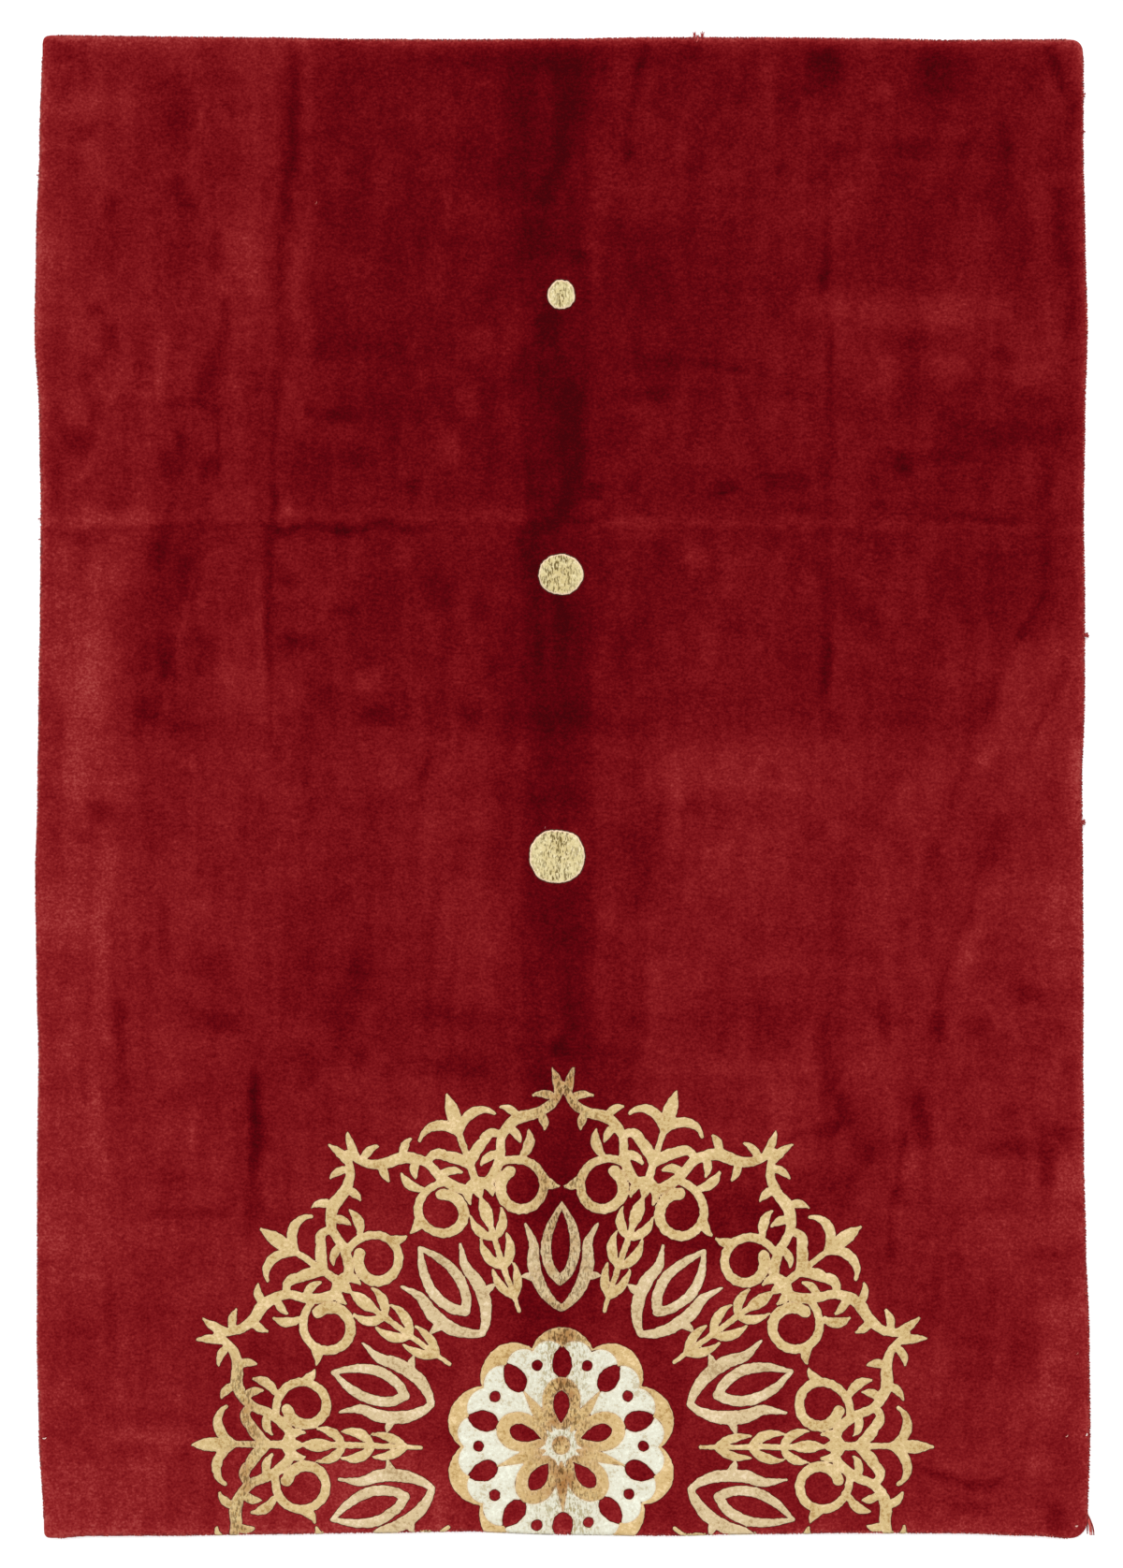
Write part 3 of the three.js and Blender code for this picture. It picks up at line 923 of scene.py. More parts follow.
@dataclass(frozen=True)
class CutWool:
    """Cut wool pile, hand-knotted and clipped: matt, with the light and shade of its nap painted into its
    colour.

    Args:
        name: Name of the material.
        stops: Colours by tone, the painted light and shade of the pile's lie, from the darkest lie to the
        painted highlight on the open tips at the rim.
    """

    name: str = "wool_cut_pile_madder_red"
    stops: tuple[tuple[float, str], ...] = (
        (0.0, "#380307"), (0.073, "#400307"), (0.22, "#4a0309"), (0.366, "#54050b"), (0.488, "#5d090e"),
        (0.61, "#650e13"), (0.732, "#6d1417"), (0.878, "#771c1e"), (1.0, "#832828"), (1.3, "#95413d"),
    )

    # Size in mm, detail and roughness of each pattern. Knot rows 4.2 mm apart show as short wavy strokes
    # across the rug, then come the places where they show, and then single knots and their yarn's tips.
    PATTERNS = (((10, KNOT_ROW, 30), 1.0, 0.5), ((90, 60, 90), 2.0, 0.5), ((3.5, 3.3, 8), 1.0, 0.6))
    ROWS_SHARE = 0.6
    KNOTS_SHARE = 0.8
    RELIEF = 0.9
    RELIEF_STRENGTH = 0.6
    LOOK = {"Roughness": 0.92, "Specular IOR Level": 0.003}

    def material(self) -> bpy.types.Material:
        """Builds the material from the pile's nap, knot rows and fibre ends.

        Returns:
            The material.
        """
        material, tree = blank_material(self.name)
        place = add_node(tree, "TexCoord").outputs["Object"]
        # The nap attribute holds the painted light and shade of the pile's lean, folds and rim.
        nap = add_node(tree, "Attribute", settings={"attribute_name": "nap"}).outputs["Fac"]
        noises = []
        for size, detail, rough in self.PATTERNS:
            inputs = {"Vector": scaled(tree, place, size), "Scale": 1.0}
            inputs.update({"Detail": detail, "Roughness": rough})
            noises.append(add_node(tree, "TexNoise", inputs).outputs["Fac"])
        rows, shown, knots = noises
        added = {"operation": "MULTIPLY_ADD"}
        rows_off = add_node(tree, "Math", {0: rows, 1: 0.5}, {"operation": "SUBTRACT"}).outputs[0]
        rows_shown = add_node(tree, "Math", {0: rows_off, 1: shown}, {"operation": "MULTIPLY"}).outputs[0]
        rows_tone = add_node(tree, "Math", {0: rows_shown, 1: self.ROWS_SHARE, 2: nap}, added).outputs[0]
        knots_off = add_node(tree, "Math", {0: knots, 1: 0.5}, {"operation": "SUBTRACT"}).outputs[0]
        tone = add_node(tree, "Math", {0: knots_off, 1: self.KNOTS_SHARE, 2: rows_tone}, added).outputs[0]
        share = add_node(tree, "MapRange", {"Value": tone, "From Max": NapShadeAndFolds.LIGHTEST}).outputs["Result"]
        stops = [(at / NapShadeAndFolds.LIGHTEST, dye) for at, dye in self.stops]
        colour = add_node(tree, "ValToRGB", {"Fac": share}, stops=stops).outputs["Color"]
        relief = add_node(tree, "Math", {0: rows, 1: 1.0, 2: knots}, added).outputs[0]
        finish_wool(tree, colour, relief, self.RELIEF, self.RELIEF_STRENGTH, self.LOOK)
        return material


@dataclass(frozen=True)
class CarvedWool:
    """Dyed wool or silk pile of the motifs, clipped round its edge: pebbly, with brown cracks in places,
    and painted shade between the tufts, in the cracks and in the carved groove.

    Args:
        name: Name of the material.
        shade: Colour down between the tufts: the yarn's darker mottle, with painted shade in the low
            places.
        body: Colour of most of it.
        light: Colour of the tips: the yarn's lighter mottle, with painted light on the high places.
        worn: Colour where the dye has gone brown.
        stain: How strongly the brown spreads beside the cracks, from 0 to 1.
        crack: Colour of the painted shade down in the cracks between the columns of knots.
        crack_size: Width and length that one crack and its gap take up, in mm.
        rim: Colour given to the rounded shoulder round the edge, lighter than the body.
        rim_share: How strongly the shoulder shows that colour, from 0 to 1.
        groove: Colour of the painted shade down in the carved groove.
    """

    name: str
    shade: str
    body: str
    light: str
    worn: str
    stain: float = 0.4
    crack: str = "#4e3413"
    crack_size: tuple[float, float] = (2.7, 7.0)
    rim: str = "#d0ae8e"
    rim_share: float = 0.3
    groove: str = "#3c1400"

    RELIEF = 1.2
    RELIEF_STRENGTH = 0.7
    CRACK_DEPTH = 0.9
    LOOK = {"Roughness": 0.85, "Specular IOR Level": 0.08, "Sheen Weight": 0.1, "Sheen Roughness": 0.5}

    def material(self) -> bpy.types.Material:
        """Builds the material from knots, wear and the depth of the carved edge, with painted shade in
        cracks and groove.

        Returns:
            The material.
        """
        material, tree = blank_material(self.name)
        place = add_node(tree, "TexCoord").outputs["Object"]
        worn, depth = (
            add_node(tree, "Attribute", settings={"attribute_name": key}).outputs["Fac"]
            for key in ("worn", "depth")
        )
        # Size in mm, detail, roughness and distortion of each pattern: the knots, the blotches, and the
        # short crinkled cracks that run along the rug between the columns of knots.
        patterns = (
            ((4.6, 4.2, 8), 2.0, 0.6, 0.0),
            ((34, 26, 40), 2.0, 0.5, 0.0),
            ((*self.crack_size, 20), 1.0, 0.5, 0.4),
        )
        noises = []
        for size, *shape in patterns:
            inputs = {"Vector": scaled(tree, place, size), "Scale": 1.0}
            inputs.update(zip(("Detail", "Roughness", "Distortion"), shape))
            noises.append(add_node(tree, "TexNoise", inputs).outputs["Fac"])
        knots, blotches, crinkle = noises
        added = {"operation": "MULTIPLY_ADD"}
        thin = {"Value": crinkle, "From Min": 0.38, "From Max": 0.48, "To Min": 1.0, "To Max": 0.0}
        crack = add_node(tree, "MapRange", thin).outputs["Result"]
        crack_shade_and_depth = add_node(tree, "Math", {0: crack, 1: worn}, {"operation": "MULTIPLY"}).outputs[0]
        # Low knots get the shade colour and high ones the light one: the yarn's mottle with painted shade
        # and light.
        mixed = add_node(tree, "Math", {0: knots, 1: 1.5, 2: blotches}, added).outputs[0]
        tone = add_node(tree, "MapRange", {"Value": mixed, "From Min": 0.92, "From Max": 1.58})
        stops = ((0.0, self.shade), (0.36, self.body), (0.62, self.body), (1.0, self.light))
        colour = add_node(tree, "ValToRGB", {"Fac": tone.outputs["Result"]}, stops=stops)
        wide = {"Value": blotches, "From Min": 0.4, "From Max": 0.6, "To Max": 2 * self.stain}
        spread = add_node(tree, "MapRange", wide).outputs["Result"]
        held = {"operation": "MULTIPLY", "use_clamp": True}
        stained = add_node(tree, "Math", {0: spread, 1: worn}, held).outputs[0]
        # From 0 on top to 0.5 at the edge of the shoulder, and on to 1 down in the carved groove,
        # which gets its painted shade.
        shoulder = add_node(tree, "MapRange", {"Value": depth, "From Max": 0.5, "To Max": self.rim_share})
        groove = add_node(tree, "MapRange", {"Value": depth, "From Min": 0.5, "From Max": 0.7})
        # Layers: the real brown of wear, the painted shade of the cracks, the shoulder's lighter colour,
        # the groove's painted shade.
        layers = (
            (stained, self.worn),
            (crack_shade_and_depth, self.crack),
            (shoulder.outputs["Result"], self.rim),
            (groove.outputs["Result"], self.groove),
        )
        dyed = colour.outputs["Color"]
        for share, dye in layers:
            inputs = {"Factor": share, 6: dyed, 7: linear(dye)}
            dyed = add_node(tree, "Mix", inputs, {"data_type": "RGBA"}).outputs[2]
        relief = add_node(tree, "Math", {0: crack_shade_and_depth, 1: -self.CRACK_DEPTH, 2: knots}, added).outputs[0]
        finish_wool(tree, dyed, relief, self.RELIEF, self.RELIEF_STRENGTH, self.LOOK)
        return material


@dataclass(frozen=True)
class KnottedBack:
    """Back of a hand-knotted rug: red wool knots packed in rows on cotton wefts, flat and matt."""

    name: str = "wool_knots_on_cotton_back"
    knot: str = "#6a1a1b"
    knot_light: str = "#84302d"
    weft: str = "#4a1f1b"

    # Size of the dye's long soft streaks, in mm.
    STREAKING = (14, 60, 20)
    RELIEF = 0.8
    RELIEF_STRENGTH = 0.8
    LOOK = {"Roughness": 0.95, "Specular IOR Level": 0.1}

    def material(self) -> bpy.types.Material:
        """Builds rows of knots with the weft sunk between them.

        Returns:
            The material.
        """
        material, tree = blank_material(self.name)
        place = add_node(tree, "TexCoord").outputs["Object"]
        mixing = {"data_type": "RGBA"}
        knotted = scaled(tree, place, (KNOT_WIDTH, KNOT_ROW, 20))
        packed = {"Vector": knotted, "Scale": 1.0, "Randomness": 0.35}
        knots = add_node(tree, "TexVoronoi", packed, {"voronoi_dimensions": "2D"}).outputs["Distance"]
        streaked = {"Vector": scaled(tree, place, self.STREAKING), "Scale": 1.0, "Detail": 3.0}
        tone = add_node(tree, "TexNoise", streaked).outputs["Fac"]
        dyes = {"Factor": tone, 6: linear(self.knot), 7: linear(self.knot_light)}
        lit = add_node(tree, "Mix", dyes, mixing).outputs[2]
        edges = {"Value": knots, "From Min": 0.38, "From Max": 0.62}
        gap = add_node(tree, "MapRange", edges).outputs["Result"]
        colour = add_node(tree, "Mix", {"Factor": gap, 6: lit, 7: linear(self.weft)}, mixing).outputs[2]
        proud = add_node(tree, "Math", {0: 1.0, 1: gap}, {"operation": "SUBTRACT"}).outputs[0]
        finish_wool(tree, colour, proud, self.RELIEF, self.RELIEF_STRENGTH, self.LOOK)
        return material


@dataclass(frozen=True)
class LooseYarn:
    """Spun wool yarn and stray fibres: each vertex carries its own dye, with darker lines of twist."""

    name: str = "wool_yarn_spun"
    twist: float = 1.6

    RELIEF = 0.4
    RELIEF_STRENGTH = 0.6
    LOOK = {"Roughness": 0.9, "Specular IOR Level": 0.05, "Sheen Weight": 0.1}

    def material(self) -> bpy.types.Material:
        """Builds the material from the dye kept at each vertex.

        Returns:
            The material.
        """
        material, tree = blank_material(self.name)
        place = add_node(tree, "TexCoord").outputs["Object"]
        dye = add_node(tree, "Attribute", settings={"attribute_name": "dye"}).outputs["Color"]
        spun = {"Vector": scaled(tree, place, (self.twist,) * 3), "Scale": 1.0, "Detail": 2.0}
        fibres = add_node(tree, "TexNoise", spun).outputs["Fac"]
        span = {"Value": fibres, "From Min": 0.3, "From Max": 0.7, "To Min": 0.7, "To Max": 1.15}
        shade = add_node(tree, "MapRange", span).outputs["Result"]
        colour = add_node(tree, "VectorMath", {0: dye, "Scale": shade}, {"operation": "SCALE"})
        finish_wool(tree, colour.outputs["Vector"], fibres, self.RELIEF, self.RELIEF_STRENGTH, self.LOOK)
        return material


@dataclass(frozen=True)
class PaperSweep:
    """White photographic paper, smooth and matt."""

    name: str = "paper_white_matt"
    colour: str = "#fdfdfd"
    mottle: str = "#fafafa"

    MOTTLE_SIZE = 400.0
    ROUGHNESS = 0.9

    def material(self) -> bpy.types.Material:
        """Builds the material, with the faint mottle of the paper.

        Returns:
            The material.
        """
        material, tree = blank_material(self.name)
        place = add_node(tree, "TexCoord").outputs["Object"]
        size = (self.MOTTLE_SIZE,) * 3
        mottle = add_node(tree, "TexNoise", {"Vector": scaled(tree, place, size), "Scale": 1.0})
        dyes = {"Factor": mottle.outputs["Fac"], 6: linear(self.colour), 7: linear(self.mottle)}
        colour = add_node(tree, "Mix", dyes, {"data_type": "RGBA"}).outputs[2]
        paper = add_node(tree, "BsdfPrincipled", {"Base Color": colour, "Roughness": self.ROUGHNESS})
        add_node(tree, "OutputMaterial", {"Surface": paper.outputs["BSDF"]})
        return material


@dataclass(frozen=True)
class Stroke:
    """A leaf or a scroll: one bent line that swells to a belly and runs out to a tip.

    Args:
        a: Start, in degrees round from the foot line.
        r: Start, in mm out from the medallion's middle.
        heading: Degrees from straight outwards, positive away from the foot line.
        length: Length, in mm.
        bend: Turn from start to tip, in degrees, positive away from the foot line.
        root: Half width at the start, in mm.
        belly: Half width at its widest, in mm.
        tip: Half width at the tip, in mm.
        tighten: Over 1, the turn gathers towards the tip.
        belly_at: Share of the length at which it is widest.
    """

    a: float
    r: float
    heading: float
    length: float
    bend: float
    root: float
    belly: float
    tip: float
    tighten: float = 1.0
    belly_at: float = 0.45

    STEPS = 18

    def spine(self) -> tuple[Array, Array]:
        """Draws the stroke as a run of points.

        Returns:
            Points along the stroke, n by 2 in mm, and the half width at each.
        """
        t = np.linspace(0, 1, self.STEPS + 1)
        around = math.radians(self.a)
        turn = math.radians(self.heading + self.a) + math.radians(self.bend) * t**self.tighten
        middle = (turn[1:] + turn[:-1]) / 2
        step = self.length / self.STEPS
        x = self.r * math.sin(around) + np.concatenate([[0], np.cumsum(np.sin(middle) * step)])
        y = self.r * math.cos(around) + np.concatenate([[0], np.cumsum(np.cos(middle) * step)])
        swelling = np.where(t < self.belly_at, t / self.belly_at, (1 - t) / (1 - self.belly_at))
        ease = np.sin(swelling * math.pi / 2) ** 1.3
        base = np.where(t < self.belly_at, self.root, self.tip)
        return np.stack([x, y], 1), base + (self.belly - base) * ease


@dataclass(frozen=True)
class Vine:
    """A line led smoothly through stations.

    Args:
        stations: Degrees round from the foot line and mm out from the middle, for each.
        half_widths: Half widths in mm, evenly spaced from start to end.
    """

    stations: tuple[tuple[float, float], ...]
    half_widths: tuple[float, ...]

    STEPS = 8

    def spine(self) -> tuple[Array, Array]:
        """Draws the vine as a smooth run of points.

        Returns:
            Points along the vine, n by 2 in mm, and the half width at each.
        """
        turns = np.radians([a for a, _ in self.stations])
        reach = np.array([r for _, r in self.stations])
        led = np.stack([reach * np.sin(turns), reach * np.cos(turns)], 1)
        ends = np.vstack([2 * led[0] - led[1], led, 2 * led[-1] - led[-2]])
        t = (np.arange(self.STEPS) / self.STEPS)[:, None]
        runs = []
        for before, here, there, after in zip(ends, ends[1:], ends[2:], ends[3:]):
            bend = (2 * before - 5 * here + 4 * there - after) * t**2
            twist = (3 * here - before - 3 * there + after) * t**3
            runs.append(0.5 * (2 * here + (there - before) * t + bend + twist))
        points = np.vstack([*runs, led[-1:]])
        share = np.linspace(0, 1, len(points))
        widths = np.interp(share, np.linspace(0, 1, len(self.half_widths)), self.half_widths)
        return points, widths


def outside_of(line: Stroke | Vine, x: Array, y: Array) -> Array:
    """Measures the distance from a stroke or a vine.

    Args:
        line: The line, with its half widths.
        x: Places across, in mm.
        y: Places along, in mm.

    Returns:
        Distance outside its edge in mm, negative inside, and a large number far off.
    """
    spine, widths = line.spine()
    clear = widths.max() + 12
    low = spine.min(0) - clear
    high = spine.max(0) + clear
    near = (x > low[0]) & (x < high[0]) & (y > low[1]) & (y < high[1])
    px, py = x[near], y[near]
    least = np.full(px.shape, 1e3)
    for start, end, wide, wide_end in zip(spine[:-1], spine[1:], widths[:-1], widths[1:]):
        run = end - start
        t = ((px - start[0]) * run[0] + (py - start[1]) * run[1]) / max(float(run @ run), 1e-9)
        t = np.clip(t, 0, 1)
        away = np.hypot(px - start[0] - t * run[0], py - start[1] - t * run[1])
        least = np.minimum(least, away - wide - (wide_end - wide) * t)
    outside = np.full(x.shape, 1e3)
    outside[near] = least
    return outside


@dataclass(frozen=True)
class Tracing:
    """A shape traced on square cells.

    Args:
        points: Places of the vertices, n by 2, in mm: first those inside, then those on the rim.
        outside: Distance outside the shape's edge at each, negative inside, in mm.
        away: Direction away from the shape at each, n by 2.
        inner: How many of the vertices are inside.
        faces: Faces by number of corners.
        rim: Pairs of rim vertices, with the shape on their left.
    """

    points: Array
    outside: Array
    away: Array
    inner: int
    faces: dict[int, Array]
    rim: Array


def traced(xs: Array, ys: Array, outside: Array) -> Tracing:
    """Cuts a shape out of square cells, with its rim between the cells' corners.

    Args:
        xs: Places of the columns, in mm.
        ys: Places of the rows, in mm.
        outside: Distance outside the shape at each corner, rows by columns, negative inside.

    Returns:
        The traced shape.
    """
    cell = xs[1] - xs[0]
    # A rim point keeps clear of the cells' corners, so no face is a sliver.
    least = 0.12 * cell
    depth = np.where(outside < 0, np.minimum(outside, -least), np.maximum(outside, least))
    inside = depth < 0
    slope_y, slope_x = np.gradient(depth, cell)
    column, row = np.meshgrid(xs, ys)
    fields = np.stack([column, row, slope_x, slope_y, depth])
    node = np.full(inside.shape, -1)
    node[inside] = np.arange(inside.sum())
    parts = [fields[:, inside]]
    count = int(inside.sum())
    edges = []
    every, low, high = slice(None), slice(None, -1), slice(1, None)
    for here, there in (((every, low), (every, high)), ((low, every), (high, every))):
        crossed = inside[here] != inside[there]
        a = fields[(slice(None), *here)][:, crossed]
        b = fields[(slice(None), *there)][:, crossed]
        share = a[4] / (a[4] - b[4])
        parts.append(a + (b - a) * share)
        index = np.full(crossed.shape, -1)
        index[crossed] = count + np.arange(crossed.sum())
        count += int(crossed.sum())
        edges.append(index)
    level, upright = edges
    nodes = [node[low, low], node[low, high], node[high, high], node[high, low]]
    corners = np.stack([*nodes, level[low], upright[:, high], level[high], upright[:, low]])
    state = sum((corners[k] >= 0).astype(int) << k for k in range(4))
    faces: dict[int, list[Array]] = {}
    rim = []
    for case in range(1, 16):
        cells = corners[:, state == case]
        walk: list[int] = []
        for k in range(4):
            here = case >> k & 1
            there = case >> (k + 1) % 4 & 1
            walk += [k] * here + [4 + k] * (here != there)
        faces.setdefault(len(walk), []).append(cells[walk].T)
        for a, b in zip(walk, walk[1:] + walk[:1]):
            if a >= 4 and b >= 4:
                rim.append(cells[[a, b]].T)
    all_fields = np.concatenate(parts, 1)
    away = all_fields[2:4] / np.maximum(np.hypot(all_fields[2], all_fields[3]), 1e-6)
    return Tracing(
        points=all_fields[:2].T,
        outside=all_fields[4],
        away=away.T,
        inner=int(inside.sum()),
        faces={size: np.concatenate(groups) for size, groups in faces.items()},
        rim=np.concatenate(rim),
    )


@dataclass(frozen=True)
class CarvedPatch:
    """One colour of motif pile as a solid: rounded where it was clipped, and through to the back.

    Args:
        name: The piece's name.
        outline: The rug's outline.
        cell: Size of the cells that it is traced on, in mm.
        shoulder: Width of the clipped, rounded edge, in mm.
        bevel: How far the sloped foot, coloured with the groove's painted shade, runs out over the red
            pile, in mm.
        nap: The red pile's lie, whose ups and downs the motif follows.
    """

    name: str
    outline: Outline
    cell: float = 2.1
    shoulder: float = 3.0
    bevel: float = 1.3
    nap: NapShadeAndFolds = NapShadeAndFolds()

    OVER_RIM = 0.5
    # The crown's height where it was clipped, and the height of the knots' pebbles.
    CLIPPED = 0.15
    PEBBLE = 0.22
    # The groove's dark foot, a sheet of painted shade, lies just on the red pile, and nowhere lower than
    # this.
    FOOT_PROUD = 0.12
    FOOT_LOWEST = 1.0
    BACK_PROUD = 0.06

    def surface(self, x: Array, y: Array) -> Array:
        """Gives the height of the red pile round the motif, in mm."""
        inset = self.outline.inset(x, y)
        return rolled_over(inset + self.OVER_RIM, FIELD_TOP) + self.nap.relief(x, y, inset)

    def build(self, xs: Array, ys: Array, outside: Array, worn: Array, groove: Array) -> Piece:
        """Builds the solid.

        Args:
            xs: Places of the columns of cells, in mm.
            ys: Places of the rows of cells, in mm.
            outside: Distance outside the shape, rows by columns.
            worn: Wear at the same corners, from 0 to 1.
            groove: Depth of cracks at the same corners, in mm.

        Returns:
            The piece.
        """
        column, row = np.meshgrid(xs, ys)
        inset = self.outline.inset(column, row)
        shape = traced(xs, ys, np.maximum(outside, -inset - self.OVER_RIM))
        x, y = shape.points.T
        near = np.clip(((x - xs[0]) / self.cell).round().astype(int), 0, len(xs) - 1)
        level = np.clip(((y - ys[0]) / self.cell).round().astype(int), 0, len(ys) - 1)
        surface = self.surface(x, y)
        run = 1 - np.clip(-shape.outside / self.shoulder, 0, 1)
        crown = self.CLIPPED + (MOTIF_STEP - self.CLIPPED) * np.sqrt(1 - run * run)
        pebbles = self.PEBBLE * Grain(41, KNOT_WIDTH * 1.3, KNOT_ROW * 1.3)(x, y)
        top = surface + crown + (pebbles - groove[level, near]) * (1 - run)
        rim = np.arange(shape.inner, len(x))
        foot = shape.points[rim] + self.bevel * shape.away[rim]
        foot_z = self.surface(*foot.T) + self.FOOT_PROUD
        back_z = BACK_LIFT - self.BACK_PROUD
        points = np.concatenate(
            [
                np.column_stack([x, y, top]),
                np.column_stack([foot, np.maximum(foot_z, self.FOOT_LOWEST)]),
                np.column_stack([x, y, np.full(len(x), back_z)]),
            ]
        )
        foot_at = len(x) - shape.inner
        back_at = len(x) + len(rim)
        a, b = shape.rim.T
        faces = list(shape.faces.values())
        faces += [f[:, ::-1] + back_at for f in shape.faces.values()]
        faces.append(np.stack([b, a, a + foot_at, b + foot_at], 1))
        faces.append(np.stack([b + foot_at, a + foot_at, a + back_at, b + back_at], 1))
        wear = worn[level, near]
        # Depth: up to 0.5 on the shoulder for its lighter colour, and 1 on the foot for the groove's
        # painted shade.
        shoulder_and_groove_shade = np.concatenate([0.5 * run**2, np.ones(len(rim)), np.zeros(len(x))])
        return new_piece(
            self.name,
            points,
            faces,
            values={"worn": np.concatenate([wear, wear[rim], wear * 0.4]), "depth": shoulder_and_groove_shade},
        )


def wear_at(x: Array, y: Array) -> Array:
    """Works out how brown and cracked the light pile is.

    Args:
        x: Places across the rug, in mm.
        y: Places along the rug, in mm.

    Returns:
        Wear from 0 to 1: most along the middle fold, some near the left of the medallion.
    """
    stray = x + 10 * Grain(51, 30, 60)(x, y)
    middle = np.exp(-((stray / 46) ** 2)) * (0.85 + 0.15 * Grain(52, 20, 40)(x, y))
    left = 0.7 * np.exp(-(((stray + 488) / 26) ** 2)) * eased((-850 - y) / 60)
    return np.clip(middle + left, 0, 1)


@dataclass(frozen=True)
class Medallion:
    """Half medallion at the -Y end: a rosette, lilies and sprigs, and arches with scrolls, ten times round.

    Args:
        outline: The rug's outline.
        middle: The medallion's middle, in mm, just inside the end of the rug.
        fold: How many times the design repeats round the middle.
        reach: Distance from the middle to the furthest tip, in mm.
    """

    outline: Outline
    middle: tuple[float, float] = (-1.4, -1005.0)
    fold: int = 10
    reach: float = 590.0

    CELL = 2.4

    GOLD = (
        # Sprig on the foot line, between two lilies.
        Vine(((0, 214), (0, 290), (0, 366)), (2.6, 4.2, 4.2)),
        Stroke(0.0, 236, 40, 56, -44, 3.0, 6.6, 1.4),
        Stroke(0.0, 286, 54, 58, -66, 3.2, 7.4, 1.4),
        Stroke(0.0, 334, 66, 50, -70, 3.4, 7.0, 1.4),
        Stroke(0.0, 352, 0, 46, 0, 4.4, 9.5, 2.0),
        # Cup at the foot of the arches, and the bud under it.
        Stroke(0.0, 426, 180, 30, 0, 7.0, 8.0, 1.6),
        Stroke(0.6, 424, 118, 36, 74, 4.8, 7.0, 1.6),
        # Half an arch, from its foot to its point.
        Vine(
            ((0, 414), (3.2, 420), (5.8, 446), (7.2, 480), (10.2, 502), (13.6, 508), (16.2, 522),
             (18, 552)),
            (7.0, 7.6, 6.2, 9.0, 7.0, 5.0),
        ),
        # Scroll that springs from the arch and turns inside it.
        Stroke(5.6, 440, 80, 222, 350, 5.4, 6.2, 8.4, 1.25, 0.3),
        Stroke(10.4, 446, 52, 40, -62, 4.6, 7.4, 1.4),
        Stroke(13.6, 412, 160, 34, -70, 4.6, 7.2, 1.4),
        # Tree between two arches.
        Vine(((0, 420), (0, 470), (0, 520)), (6.2, 4.6, 4.2)),
        Stroke(0.0, 446, 24, 66, 62, 4.6, 8.6, 1.6),
        Stroke(0.0, 500, 22, 76, 128, 4.4, 7.4, 2.4, 1.25),
        Stroke(0.0, 508, 0, 58, 0, 4.8, 10.5, 1.6),
        # Flame over the point of the arch.
        Stroke(17.2, 536, 2, 44, -26, 4.8, 6.4, 1.4),
        Stroke(16.8, 528, -44, 36, -66, 4.4, 6.0, 1.4),
        # Hooks outside the arch, and barbs inside it.
        *(
            Stroke(a, r, h, 34, -74, 5.2, 6.2, 1.3)
            for a, r, h in ((5.9, 452, -70), (7.0, 480, -46), (10.4, 503, -12))
        ),
        *(Stroke(a, r, h, 30, 50, 5.0, 6.2, 1.3) for a, r, h in ((8.6, 490, 128), (13.9, 509, 140))),
    )
    SAGE = (
        # Lily under the point of each arch: outer petals, inner petal and a thorn.
        Vine(
            ((18, 208), (14.2, 220), (10.6, 246), (9.4, 282), (10.2, 312), (8.6, 344)),
            (4.6, 6.6, 9.2, 9.6, 6.8, 1.5),
        ),
        Vine(((18, 252), (14.9, 270), (13.6, 302), (15.2, 336), (18, 368)), (7.0, 7.0, 7.6, 6.2, 2.8)),
        Stroke(10.2, 256, -50, 28, -44, 4.6, 5.8, 1.4),
    )

    def grid(self) -> tuple[Array, Array]:
        """Gives the columns and rows of cells that cover the medallion.

        Returns:
            Places of the columns and of the rows, in mm.
        """
        x0, y0 = self.middle
        xs = np.arange(x0 - self.reach, x0 + self.reach, self.CELL)
        ys = np.arange(-self.outline.length / 2 - 12, y0 + self.reach, self.CELL)
        return xs, ys

    def ring(self, turn: Array, reach: Array, count: int, start: float) -> tuple[Array, Array]:
        """Folds the plane into one of a ring of equal sectors.

        Args:
            turn: Degrees round from the medallion's axis.
            reach: Distance from the middle, in mm.
            count: How many sectors there are.
            start: Degrees from the axis to the middle of the first one.

        Returns:
            Places across and along the sector's own line, in mm.
        """
        sector = 360.0 / count
        off = np.radians(np.mod(turn - start + sector / 2, sector) - sector / 2)
        return reach * np.sin(off), reach * np.cos(off)

    def drawn(self, x: Array, y: Array) -> dict[Slot, Array]:
        """Draws the medallion.

        Args:
            x: Places across the rug, in mm.
            y: Places along the rug, in mm.

        Returns:
            Distance outside each colour's shape, negative inside, in mm.
        """
        # Knotting by hand leaves no two repeats alike.
        u = x - self.middle[0] + 3.4 * Grain(61, 150, 130)(x, y) + 0.9 * Grain(62, 46, 40)(x, y)
        v = y - self.middle[1] + 3.4 * Grain(63, 130, 150)(x, y) + 0.9 * Grain(64, 40, 46)(x, y)
        reach = np.hypot(u, v)
        turn = np.degrees(np.arctan2(u, v))
        sector = 360.0 / self.fold
        across, along = self.ring(turn, reach, self.fold, sector / 2)
        across = np.abs(across)
        knotted = 0.8 * Grain(65, KNOT_WIDTH, KNOT_ROW)(x, y)

        def union(lines: Iterable[Stroke | Vine]) -> Array:
            """Gives the distance outside all the lines together."""
            return np.minimum.reduce([outside_of(line, across, along) for line in lines])

        def petal(count: int, start: float, line: Stroke) -> Array:
            """Gives the distance outside a ring of petals."""
            return outside_of(line, *self.ring(turn, reach, count, start))

        def bead(count: int, start: float, out: float, radius: float) -> Array:
            """Gives the distance outside a ring of round beads."""
            p, q = self.ring(turn, reach, count, start)
            return np.hypot(p, q - out) - radius

